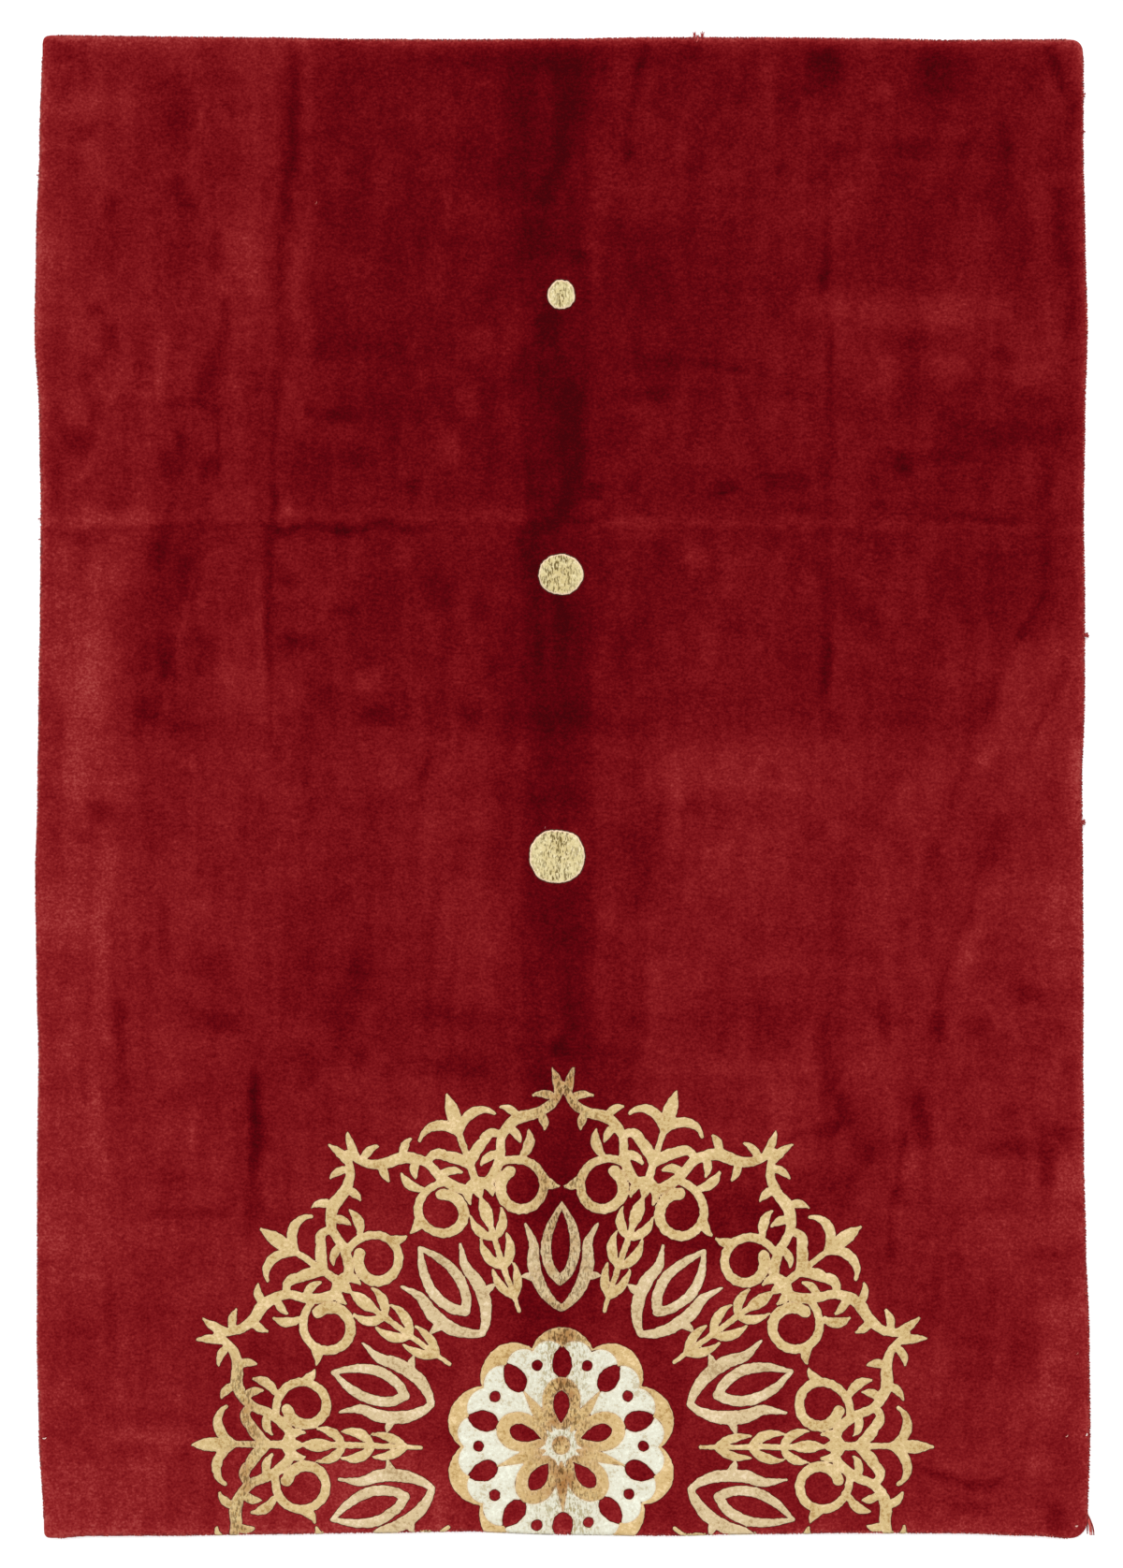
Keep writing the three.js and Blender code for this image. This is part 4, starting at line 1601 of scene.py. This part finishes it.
        # Rings of the rosette: how many there are, the first one's degrees, then its place and size in mm.
        scallops = np.minimum(bead(10, 0, 128, 50), reach - 140)
        plate = np.minimum(bead(20, 9, 132, 27), reach - 138)
        cut_outs = np.minimum(
            petal(10, 0, Stroke(0, 103, 0, 50, 0, 1.0, 16, 1.0, belly_at=0.36)),
            bead(10, 18, 126, 9),
        )
        flower = np.minimum(
            petal(5, 0, Stroke(0, 18, 0, 78, 0, 1.0, 30, 1.0, belly_at=0.64)),
            petal(5, 36, Stroke(0, 22, 0, 80, 0, 1.0, 9, 1.0, belly_at=0.36)),
        )
        flower = np.maximum(flower, 24 - reach)
        eye = reach - 14
        hearts = petal(5, 0, Stroke(0, 32, 0, 50, 0, 1.0, 13.5, 1.0, belly_at=0.64))
        tan = np.minimum(np.maximum(scallops, -plate), np.maximum(flower, -hearts))
        tan = np.minimum(tan, eye)
        cream = np.maximum(plate, -np.minimum.reduce([cut_outs, flower, eye]))
        shapes = {
            Slot.GOLD: union(self.GOLD),
            Slot.SAGE: union(self.SAGE),
            Slot.TAN: tan,
            Slot.CREAM: np.maximum(cream, -hearts),
        }
        return {slot: outside + knotted for slot, outside in shapes.items()}

    def build(self) -> list[Piece]:
        """Builds and dresses one piece for each colour of pile.

        Returns:
            The pieces.
        """
        # Each colour's own tints: between the tufts, with painted shade, most of it, its tips, with painted
        # light, worn brown, how far the brown spreads, and the painted shade down in the cracks.
        rows = (
            (Slot.GOLD, "old_gold", "#9a7c4c", "#b39c6e", "#c9b188", "#8c5c26", 0.45, "#4e3413"),
            (Slot.SAGE, "grey_beige", "#98805c", "#b4a07c", "#c9b698", "#8e6a38", 0.45, "#4e3413"),
            (Slot.TAN, "tan", "#9a7a48", "#b59a6a", "#c9b084", "#855422", 0.45, "#4e3413"),
            (Slot.CREAM, "cream", "#aca288", "#c1bfae", "#cecfbf", "#a08a5c", 0.15, "#8c7d50"),
        )
        finishes = {
            slot: CarvedWool("silk_wool_pile_" + name, *dyes, crack=crack)
            for slot, name, *dyes, crack in rows
        }
        xs, ys = self.grid()
        x, y = np.meshgrid(xs, ys)
        worn = wear_at(x, y)
        groove = 0.5 * worn * (1 + Grain(66, 4.2, 30)(x, y))
        pieces = []
        for slot, outside in self.drawn(x, y).items():
            carved = CarvedPatch("medallion_" + slot.value, self.outline, self.CELL)
            piece = carved.build(xs, ys, outside, worn, groove)
            pieces.append(dress(piece, finishes[slot].material(), slot))
        return pieces


@dataclass(frozen=True)
class Disc:
    """A round spot of straw-coloured pile.

    Args:
        name: The piece's name.
        x: Middle across the rug, in mm.
        y: Middle along the rug, in mm.
        width: Its size across, in mm.
        height: Its size along, in mm.
        worn_x: Middle of the cracked stretch, in mm.
        worn_width: Half width of the cracked stretch, in mm.
    """

    name: str
    x: float
    y: float
    width: float
    height: float
    worn_x: float
    worn_width: float

    CELL = 1.0
    # Width of the sloped foot that carries the painted shade of the carved groove, in mm.
    GROOVE_SHADE_WIDTH = 2.2
    # 2 is an ellipse, and more is squarer.
    ROUNDNESS = 2.2
    MARGIN = 6.0
    CRACK_DEPTH = 0.8

    def build(self, outline: Outline) -> Piece:
        """Builds the disc with wavy cracks that run along the rug.

        Args:
            outline: The rug's outline.

        Returns:
            The piece.
        """
        half = max(self.width, self.height) / 2 + self.MARGIN
        xs = np.arange(self.x - half, self.x + half, self.CELL)
        ys = np.arange(self.y - half, self.y + half, self.CELL)
        x, y = np.meshgrid(xs, ys)
        across = (x - self.x) / (self.width / 2)
        along = (y - self.y) / (self.height / 2)
        power = self.ROUNDNESS
        size = (np.abs(across) ** power + np.abs(along) ** power) ** (1 / power)
        outside = (size - 1) * self.width / 2 + 0.9 * Grain(71, 16, 16)(x, y)
        outside += 0.8 * Grain(72, KNOT_WIDTH, KNOT_ROW)(x, y)
        # Cracks stand where the grain crosses zero, and are deepest in the worn stretch.
        wave = x + 2.0 * Grain(73, 11, 8)(x, y)
        crack = np.clip(1 - 3.2 * np.abs(Grain(74, 6.4, 13)(wave, y)), 0, 1)
        off = np.abs(wave - self.worn_x) / self.worn_width
        band = 0.4 + 0.5 * np.exp(-(off**4)) + 0.1 * Grain(75, 26, 40)(x, y)
        carved = CarvedPatch(self.name, outline, self.CELL, bevel=self.GROOVE_SHADE_WIDTH)
        return carved.build(xs, ys, outside, np.clip(band, 0, 1), self.CRACK_DEPTH * crack * band)


@dataclass(frozen=True)
class DiscRow:
    """Three discs down the middle of the rug, larger towards the medallion."""

    outline: Outline
    discs: tuple[Disc, ...] = (
        Disc("disc_small", -1.4, 750.8, 40.0, 42.0, -1.0, 6.0),
        Disc("disc_middle", -2.6, 323.8, 65.4, 59.6, -8.0, 24.0),
        Disc("disc_large", -8.4, -106.2, 83.6, 79.0, -10.0, 22.0),
    )

    def build(self) -> list[Piece]:
        """Builds and dresses the three discs.

        Returns:
            The pieces.
        """
        # Between the tufts with painted shade, most of it, the tips with painted light, and worn brown.
        dyes = ("#a4976a", "#c2b58a", "#dacfae", "#a8935a")
        rim = {"rim": "#e6c9ae", "rim_share": 0.9}
        # The dark crack colour is painted shade down in the cracks.
        cracks = {"stain": 0.3, "crack": "#5c4a1e", "crack_size": (2.2, 7.0)}
        straw = CarvedWool("silk_wool_pile_straw", *dyes, **cracks, **rim)
        finish = straw.material()
        return [dress(disc.build(self.outline), finish, Slot.GOLD) for disc in self.discs]


@dataclass(frozen=True)
class FieldPile:
    """The red pile: one closed mesh from edge to edge, rolled over at the rim.

    Args:
        outline: The rug's outline.
        nap: How the pile lies.
        cell: Spacing of its points, in mm.
    """

    outline: Outline
    nap: NapShadeAndFolds
    cell: float = 6.5

    RIM_LINES = (0.0, 0.5, 1.8, 4.0, 7.0)
    # The left fold and the two sides of the band down the middle, in mm of x.
    CREASES = ((-455.0, -395.0), (-72.0, -48.0), (32.0, 56.0))

    def build(self) -> Piece:
        """Builds and dresses the pile.

        Returns:
            The piece.
        """
        plan = self.outline.plan(self.cell, self.RIM_LINES, self.CREASES)
        height = rolled_over(plan.inset, FIELD_TOP) + self.nap.relief(plan.x, plan.y, plan.inset)
        # The tone is the painted light and shade of the pile's lean, its folds and its rim.
        tone = self.nap.tone(plan.x, plan.y, plan.inset)
        points = np.column_stack([plan.x.ravel(), plan.y.ravel(), height.ravel()])
        # The hidden underside is a fan from one point in the middle to the rim.
        rim = plan.rim()
        middle = np.array([0.0, 0.0, points[rim[0], 2]])
        fan = np.column_stack([np.roll(rim, -1), rim, np.full(len(rim), len(points))])
        piece = new_piece(
            "field_pile",
            np.vstack([points, middle]),
            [plan.quads(), fan],
            values={"nap": np.append(tone.ravel(), tone.mean())},
        )
        return dress(piece, CutWool().material(), Slot.FIELD)


@dataclass(frozen=True)
class KnottedGround:
    """The knotted cloth under the pile, one closed sheet that lies on the floor.

    Args:
        outline: The rug's outline.
        cell: Spacing of its points, in mm.
    """

    outline: Outline
    cell: float = 24.0

    RIM_LINES = (0.0, 0.5, 1.5)
    EDGE_RADIUS = 1.5
    UNDER_PILE = 0.1

    def build(self) -> Piece:
        """Builds and dresses the ground.

        Returns:
            The piece.
        """
        plan = self.outline.plan(self.cell, self.RIM_LINES)
        run = 1 - np.clip(plan.inset / self.EDGE_RADIUS, 0, 1)
        under = BACK_LIFT + self.EDGE_RADIUS * (1 - np.sqrt(1 - run * run))
        x, y = plan.x.ravel(), plan.y.ravel()
        top = np.full(len(x), GROUND_TOP - self.UNDER_PILE)
        points = np.concatenate([np.column_stack([x, y, top]), np.column_stack([x, y, under.ravel()])])
        rim = plan.rim()
        after = np.roll(rim, -1)
        wall = np.stack([after, rim, rim + len(x), after + len(x)], 1)
        faces = [plan.quads(), plan.quads()[:, ::-1] + len(x), wall]
        piece = new_piece("knotted_ground", points, faces)
        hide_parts("rug")
        return dress(piece, KnottedBack().material(), Slot.GROUND)


def tube(
    path: Array, radii: Array, sides: int, twist_turns: float = 0.0, plies: float = 0.0
) -> tuple[Array, Array, Array]:
    """Builds a closed tube round a path.

    Args:
        path: Points along the middle, n by 3, in mm.
        radii: Radius at each point, in mm.
        sides: Number of sides.
        twist_turns: Turns that the yarn's twist makes from end to end.
        plies: How deep the line between two plies is, as a share of the radius.

    Returns:
        Vertices, four-sided faces and the two end faces.
    """
    along = np.gradient(path, axis=0)
    along /= np.linalg.norm(along, axis=1)[:, None]
    up = np.where(np.abs(along[:, 2:3]) > 0.9, (1.0, 0.0, 0.0), (0.0, 0.0, 1.0))
    side = np.cross(along, up)
    side /= np.linalg.norm(side, axis=1)[:, None]
    over = np.cross(side, along)
    turns = np.linspace(0, 2 * math.pi, sides, endpoint=False)
    twist = np.linspace(0, 2 * math.pi * twist_turns, len(path))
    lobes = 1 - plies * (1 - np.abs(np.cos(turns[None, :] - twist[:, None])))
    reach = radii[:, None] * lobes
    ring = side[:, None, :] * np.cos(turns)[None, :, None] + over[:, None, :] * np.sin(turns)[None, :, None]
    points = (path[:, None, :] + ring * reach[:, :, None]).reshape(-1, 3)
    index = np.arange(len(points)).reshape(len(path), sides)
    here, there = index[:-1], index[1:]
    quads = np.stack([here, np.roll(here, -1, 1), np.roll(there, -1, 1), there], -1).reshape(-1, 4)
    ends = np.stack([index[0][::-1], index[-1]])
    return points, quads, ends


@dataclass
class TubeBundle:
    """Many tubes that become one piece.

    Args:
        sides: Number of sides of each tube.
    """

    sides: int = 6

    def __post_init__(self) -> None:
        """Starts the bundle with nothing in it."""
        self.points: list[Array] = []
        self.quads: list[Array] = []
        self.ends: list[Array] = []
        self.dyes: list[Array] = []
        self.count = 0

    def add(
        self, path: Array, radii: Array, dye: str, twist_turns: float = 0.0, plies: float = 0.0
    ) -> None:
        """Adds one tube.

        Args:
            path: Points along its middle, n by 3, in mm.
            radii: Radius at each point, in mm.
            dye: Its hex colour.
            twist_turns: Turns of the yarn's twist.
            plies: Depth of the line between two plies.
        """
        points, quads, ends = tube(path, radii, self.sides, twist_turns, plies)
        self.points.append(points)
        self.quads.append(quads + self.count)
        self.ends.append(ends + self.count)
        self.dyes.append(np.tile(linear(dye), (len(points), 1)))
        self.count += len(points)

    def piece(self, name: str) -> Piece:
        """Joins the tubes to one mesh object.

        Args:
            name: The piece's name.

        Returns:
            The piece.
        """
        return new_piece(
            name,
            np.concatenate(self.points),
            [np.concatenate(self.quads), np.concatenate(self.ends)],
            dyes={"dye": np.concatenate(self.dyes)},
        )


@dataclass(frozen=True)
class RimTufts:
    """Tips of the pile that lean out all round the edge, three to a knot.

    Args:
        outline: The rug's outline.
        medallion: The half medallion, whose colours reach the edge.
    """

    outline: Outline
    medallion: Medallion

    # Height of each tier on the roll of the rim, as an angle from level, in degrees.
    TIERS = (12.0, 38.0, 64.0)
    LENGTH = 2.4
    HALF_WIDTH = 1.9
    ROOT_DEPTH = 1.2
    FLATNESS = 0.7
    # The bend of a tuft: its share of the length, of the lean, of the width and of the thickness.
    BEND = (0.55, 0.4, 0.72, 0.5)
    # Spread of the tiers' angles in degrees, of the places in mm and of the lean.
    ANGLE_SPREAD = 8
    PLACE_SPREAD = 1.0
    LEAN_SPREAD = 0.22
    # The field's tips are dyed lighter than the field pile, a painted highlight where the rim rolls over.
    HIGHLIT_FIELD_DYES = ("#7d1c1d", "#8a2626", "#96312d", "#a23e37")
    # Four points at the foot, four at the bend, and the tip.
    CORNERS = ((1, 0), (0, 1), (-1, 0), (0, -1))
    POINTS = 9

    def edge_colours(self, places: Array) -> Array:
        """Finds each tuft's dye.

        Args:
            places: Points on the edge, n by 2, in mm.

        Returns:
            Linear colours, n by 4.
        """
        rng = np.random.default_rng(81)
        field = np.array([linear(d) for d in self.HIGHLIT_FIELD_DYES])
        dyes = field[rng.integers(0, len(field), len(places))]
        own = {Slot.GOLD: "#b39c70", Slot.SAGE: "#b4a07c", Slot.TAN: "#b1956a", Slot.CREAM: "#c1bfae"}
        x, y = places.T
        near = y < self.medallion.middle[1]
        shapes = self.medallion.drawn(x[near], y[near])
        for slot, outside in shapes.items():
            covered = np.zeros(len(places), bool)
            covered[near] = outside < 0
            dyes[covered] = np.array(linear(own[slot])) * rng.uniform(0.85, 1.08, (covered.sum(), 1))
        dyes[:, 3] = 1.0
        return dyes

    def build(self) -> Piece:
        """Builds and dresses the tufts as one piece.

        Returns:
            The piece.
        """
        places, ways = self.outline.walk(KNOT_ROW)
        dyes = self.edge_colours(places)
        rng = np.random.default_rng(82)
        count = len(places)
        along = np.stack([-ways[:, 1], ways[:, 0]], 1)
        points, quads, tips, colours = [], [], [], []
        total = 0
        for tier, angle in enumerate(self.TIERS):
            rise = np.radians(angle + rng.uniform(-self.ANGLE_SPREAD, self.ANGLE_SPREAD, count))
            shift = rng.uniform(-self.PLACE_SPREAD, self.PLACE_SPREAD, count) + (tier % 2) * KNOT_ROW / 2
            base = places + along * shift[:, None]
            base = base - ways * (PILE_LEAN * (1 - np.cos(rise)))[:, None]
            base_z = GROUND_TOP + (FIELD_TOP - GROUND_TOP) * np.sin(rise)
            root = np.column_stack([base, base_z])
            out = np.column_stack([ways * np.cos(rise)[:, None], np.sin(rise)])
            side = np.column_stack([along, np.zeros(count)])
            flat = np.cross(out, side)
            lean = rng.normal(0, self.LEAN_SPREAD, (count, 1))
            length = self.LENGTH * rng.uniform(0.45, 1.0, (count, 1))
            wide = self.HALF_WIDTH * rng.uniform(0.8, 1.1, (count, 1))
            base = root - self.ROOT_DEPTH * out
            foot = [base + side * p * wide + flat * q * wide * self.FLATNESS for p, q in self.CORNERS]
            reach, sway, broad, thick = self.BEND
            bend = root + out * length * reach + side * lean * length * sway
            middle = [bend + side * p * wide * broad + flat * q * wide * thick for p, q in self.CORNERS]
            tip = root + out * length + side * lean * length
            points.append(np.stack([*foot, *middle, tip], 1).reshape(-1, 3))
            start = total + self.POINTS * np.arange(count)[:, None]
            for k in range(4):
                n = (k + 1) % 4
                quads.append(start + np.array([n, k, k + 4, n + 4]))
                tips.append(start + np.array([n + 4, k + 4, 8]))
            quads.append(start + np.array([0, 1, 2, 3]))
            shade = rng.uniform(0.85, 1.15, (count, 1)) * np.array([1.0, 1.0, 1.0, 0.0])
            colours.append(np.repeat(dyes * shade + np.array([0, 0, 0, 1.0]), self.POINTS, axis=0))
            total += self.POINTS * count
        piece = new_piece(
            "rim_tufts",
            np.concatenate(points),
            [np.concatenate(quads), np.concatenate(tips)],
            dyes={"dye": np.concatenate(colours)},
        )
        return dress(piece, LooseYarn("wool_yarn_tips").material(), Slot.FIELD)


@dataclass(frozen=True)
class SideYarn:
    """The last wrap of the side yarn at the medallion end's right corner, and its loose strands."""

    outline: Outline

    WRAP_TURNS = 4
    WRAP_END = -1112.0
    WRAP_LENGTH = 9.0
    # One turn of the wrap over the side: from and to, in degrees from level, and its two radii.
    WRAP_SWEEP = (-80, 200)
    WRAP_ROUND = (2.0, 1.5)
    WRAP_HEIGHT = 2.3
    WRAP_INSET = 0.8
    WRAP_SLANT = 0.35
    # Radius in mm, turns of twist and depth of the line between two plies.
    WRAP_YARN = (1.0, 3.0, 0.25)
    WRAP_DYE = "#7c2622"
    # Each strand: where it leaves the wrap, along x from the rug's side and along y from the wrap's upper
    # end, how far out from there and how far below that end its tip lies, its bow, radius and dye.
    STRANDS = (
        (0.0, -8.0, 0.8, 29.0, 0.0, 1.1, "#7a2a27"),
        (1.4, -7.0, 3.4, 31.0, 1.4, 1.2, "#c24c47"),
        (2.2, -5.0, 5.0, 31.5, 2.0, 1.2, "#a85048"),
        (1.0, -2.0, 9.6, 31.5, 4.2, 1.4, "#7c2a27"),
    )
    STRAND_TWIST = 5.0
    STRAND_PLIES = 0.3
    STRAND_STEPS = 22
    ROOT_STEPS = 8
    TIP_STEPS = 5
    # The three frayed ends at a tip: how far each leans sideways, and their run and height.
    FRAYS = (-1.44, 0.0, 1.44)
    FRAY_RUN = 3.4
    FRAY_HEIGHT = 0.45

    def wrap(self, turn: int) -> Array:
        """Lays one turn of the wrap over the side.

        Args:
            turn: Number of the turn, from 0, towards the corner.

        Returns:
            Points, n by 3, in mm.
        """
        y = self.WRAP_END - (turn + 0.5) * self.WRAP_LENGTH / self.WRAP_TURNS
        sweep = np.radians(np.linspace(*self.WRAP_SWEEP, 14))
        wide, high = self.WRAP_ROUND
        x = float(self.outline.right(np.array(y))) - self.WRAP_INSET + wide * np.cos(sweep)
        slant = self.WRAP_SLANT * np.sin(2 * sweep)
        return np.column_stack([x, y + slant, self.WRAP_HEIGHT + high * np.sin(sweep)])

    def build(self) -> Piece:
        """Builds and dresses the wrap with its strands.

        Returns:
            The piece.
        """
        bundle = TubeBundle(sides=8)
        for turn in range(self.WRAP_TURNS):
            path = self.wrap(turn)
            radius, twist, plies = self.WRAP_YARN
            bundle.add(path, np.full(len(path), radius), self.WRAP_DYE, twist, plies)
        side = float(self.outline.right(np.array(self.WRAP_END)))
        even = np.ones(self.STRAND_STEPS - self.ROOT_STEPS - self.TIP_STEPS)
        root_taper = np.linspace(1.5, 1.0, self.ROOT_STEPS)
        taper = np.concatenate([root_taper, even, np.linspace(0.9, 0.35, self.TIP_STEPS)])
        t = np.linspace(0, 1, self.STRAND_STEPS)[:, None]
        fray = np.linspace(0, 1, 6)[:, None]
        for start_x, start_y, out, down, bow, radius, dye in self.STRANDS:
            root = np.array([side + start_x, self.WRAP_END + start_y, 2.0])
            end = np.array([side + start_x + out, self.WRAP_END - down, 2.0])
            middle = (root + end) / 2 + np.array([bow, 0.0, 0.0])
            path = (1 - t) ** 2 * root + 2 * t * (1 - t) * middle + t**2 * end
            path[:, 2] = radius + 0.1 + (1 - t[:, 0]) ** 3 * 1.2
            bundle.add(path, radius * taper, dye, self.STRAND_TWIST, self.STRAND_PLIES)
            for spread in self.FRAYS:
                tail = path[-3] + fray * np.array([spread, -self.FRAY_RUN, 0.0])
                tail[:, 2] = self.FRAY_HEIGHT
                bundle.add(tail, np.linspace(0.4, 0.15, 6), dye)
        piece = bundle.piece("side_yarn")
        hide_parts("side_yarn_ends")
        return dress(piece, LooseYarn().material(), Slot.SIDE_YARN)


@dataclass(frozen=True)
class StrayFibres:
    """Pulled tufts at the edge and bits of pale lint caught in the pile.

    Args:
        outline: The rug's outline.
    """

    outline: Outline

    # Lint: place in mm, length, lean in degrees, thickness and dye.
    LINT = (
        (204, 1142, 12.0, 0, 1.4, "#b04444"), (-376, 891, 5.0, 30, 0.7, "#9a4a44"),
        (-27, -62, 3.5, 10, 0.6, "#8f4a4c"), (784, -1127, 4.0, 75, 1.3, "#cc9a90"),
        (799, -988, 4.5, 20, 0.9, "#e2d4cc"), (769, -990, 4.5, 50, 0.7, "#c08a7c"),
        (785, -864, 4.0, 40, 0.6, "#a05248"), (-622, -1140, 4.5, 80, 0.7, "#a8675a"),
        (-790, -993, 6.0, 80, 0.8, "#e0c0b4"),
    )
    LINT_CURL = 0.22
    LINT_LIFT = 0.4
    LINT_TAPER = (0.4, 0.85, 1.0, 1.0, 1.0, 0.8, 0.35)
    # Pulled tufts: place on the edge in mm, way that they point in degrees from +X, and length.
    PULLED = (
        (202, 1143, 92, 15.0), (207, 1142, 90, 10.0), (213, 1143, 84, 15.0), (796, 1058, 10, 6.5),
        (796, 1055, -25, 5.5), (796, 1001, -20, 6.0), (798, 234, 10, 9.0), (798, 232, 0, 10.0),
        (798, 230, -8, 9.0), (793, -52, 12, 9.0), (793, -54, 0, 10.0), (793, -56, -10, 9.0),
        (-800, 934, 170, 7.0), (-797, 409, 180, 7.0), (-797, 378, 180, 6.5),
    )
    PULLED_FIBRES = 5
    PULLED_FAN = 16
    PULLED_ROOT = 3
    PULLED_HEIGHT = 6.5
    PULLED_DYE = "#8c2624"

    def build(self) -> Piece:
        """Builds and dresses the fibres as one piece.

        Returns:
            The piece.
        """
        bundle = TubeBundle(sides=5)
        rng = np.random.default_rng(91)
        t = np.linspace(-0.5, 0.5, len(self.LINT_TAPER))
        for x, y, length, lean, thick, dye in self.LINT:
            heading = math.radians(lean)
            curl = self.LINT_CURL * length * (1 - 4 * t * t)
            across = x + length * t * math.sin(heading) + curl * math.cos(heading)
            along = y + length * t * math.cos(heading) - curl * math.sin(heading)
            height = rolled_over(self.outline.inset(across, along), FIELD_TOP)
            height = height + self.LINT_LIFT + 0.5 * thick
            bundle.add(np.column_stack([across, along, height]), thick * np.array(self.LINT_TAPER), dye)
        t = np.linspace(0, 1, 6)
        for x, y, way, length in self.PULLED:
            for _ in range(self.PULLED_FIBRES):
                heading = math.radians(way + rng.uniform(-self.PULLED_FAN, self.PULLED_FAN))
                out = length * rng.uniform(0.8, 1.0) * t - self.PULLED_ROOT
                height = self.PULLED_HEIGHT - 3.0 * t**2 + rng.uniform(-1, 1)
                path = np.column_stack([x + out * math.cos(heading), y + out * math.sin(heading), height])
                bundle.add(path, np.linspace(1.3, 0.5, 6), self.PULLED_DYE)
        return dress(bundle.piece("stray_fibres"), LooseYarn("wool_fibres_loose").material(), Slot.FIELD)


@dataclass(frozen=True)
class Studio:
    """White paper sweep, soft light from the plain end, and a camera straight above.

    Args:
        frame_length: Length of the picture on the floor, in mm.
        middle: Middle of the picture on the floor, in mm.
        lens: Focal length in mm, on a 36 mm sensor.
    """

    frame_length: float = 2396.7
    middle: tuple[float, float] = (-1.4, 4.3)
    lens: float = 85.0

    SENSOR = 36.0
    CLIP_END = 100.0
    # Rings of the paper, in metres from the middle, and the points on each.
    FLOOR_RINGS = (2.0, 6.0, 14.0, 40.0)
    FLOOR_SIDES = 48
    SKY_STRENGTH = 1.27
    KEY_STRENGTH = 1.25
    KEY_HEIGHT = 48.0
    KEY_SIDE = 0.12
    KEY_SOFTNESS = 40.0

    def floor(self) -> None:
        """Builds the paper as a wide flat sheet, level under the rug."""
        sides = self.FLOOR_SIDES
        turns = np.linspace(0, 2 * math.pi, sides, endpoint=False)
        points = [(0.0, 0.0, 0.0)]
        for ring in self.FLOOR_RINGS:
            points += [(ring * math.cos(a) / MM, ring * math.sin(a) / MM, 0.0) for a in turns]
        centre = [(0, 1 + k, 1 + (k + 1) % sides) for k in range(sides)]
        bands = []
        for inner in range(1, 1 + sides * (len(self.FLOOR_RINGS) - 1), sides):
            for k in range(sides):
                after = (k + 1) % sides
                bands.append((inner + k, inner + sides + k, inner + sides + after, inner + after))
        sheet = new_piece("paper_floor", np.array(points), [np.array(centre), np.array(bands)])
        sheet.data.materials.append(PaperSweep().material())

    def lights(self) -> None:
        """Sets an even white surround and one broad key light from the plain end."""
        world = bpy.data.worlds.new("studio_surround")
        world.use_nodes = True
        world.node_tree.nodes.clear()
        sky = {"Color": linear("#ffffff"), "Strength": self.SKY_STRENGTH}
        surround = add_node(world.node_tree, "Background", sky)
        add_node(world.node_tree, "OutputWorld", {"Surface": surround.outputs["Background"]})
        bpy.context.scene.world = world
        key = bpy.data.lights.new("key", "SUN")
        key.energy = self.KEY_STRENGTH
        key.angle = math.radians(self.KEY_SOFTNESS)
        lamp = bpy.data.objects.new("key", key)
        height = math.radians(self.KEY_HEIGHT)
        towards = Vector((self.KEY_SIDE, -math.cos(height), -math.sin(height)))
        lamp.rotation_euler = towards.to_track_quat("-Z", "Y").to_euler()
        bpy.context.scene.collection.objects.link(lamp)

    def camera(self) -> None:
        """Hangs the camera over the rug so that the picture's long side takes in the frame."""
        data = bpy.data.cameras.new("camera")
        data.lens = self.lens
        data.sensor_width = self.SENSOR
        data.clip_end = self.CLIP_END
        camera = bpy.data.objects.new("camera", data)
        away = self.frame_length * self.lens / self.SENSOR
        camera.location = (self.middle[0] * MM, self.middle[1] * MM, away * MM)
        bpy.context.scene.collection.objects.link(camera)
        bpy.context.scene.camera = camera
        bpy.context.scene.view_settings.view_transform = "Standard"

    def build(self) -> None:
        """Builds floor, lights and camera."""
        self.camera()
        self.floor()
        self.lights()


def main() -> None:
    logging.basicConfig(level=logging.INFO, format="%(message)s")
    Studio().build()
    outline = Outline()
    medallion = Medallion(outline)
    ground = KnottedGround(outline).build()
    on_it = [FieldPile(outline, NapShadeAndFolds()).build()]
    on_it += medallion.build()
    on_it += DiscRow(outline).build()
    on_it.append(RimTufts(outline, medallion).build())
    on_it.append(SideYarn(outline).build())
    on_it.append(StrayFibres(outline).build())
    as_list(on_it)


if __name__ == "__main__":
    main()
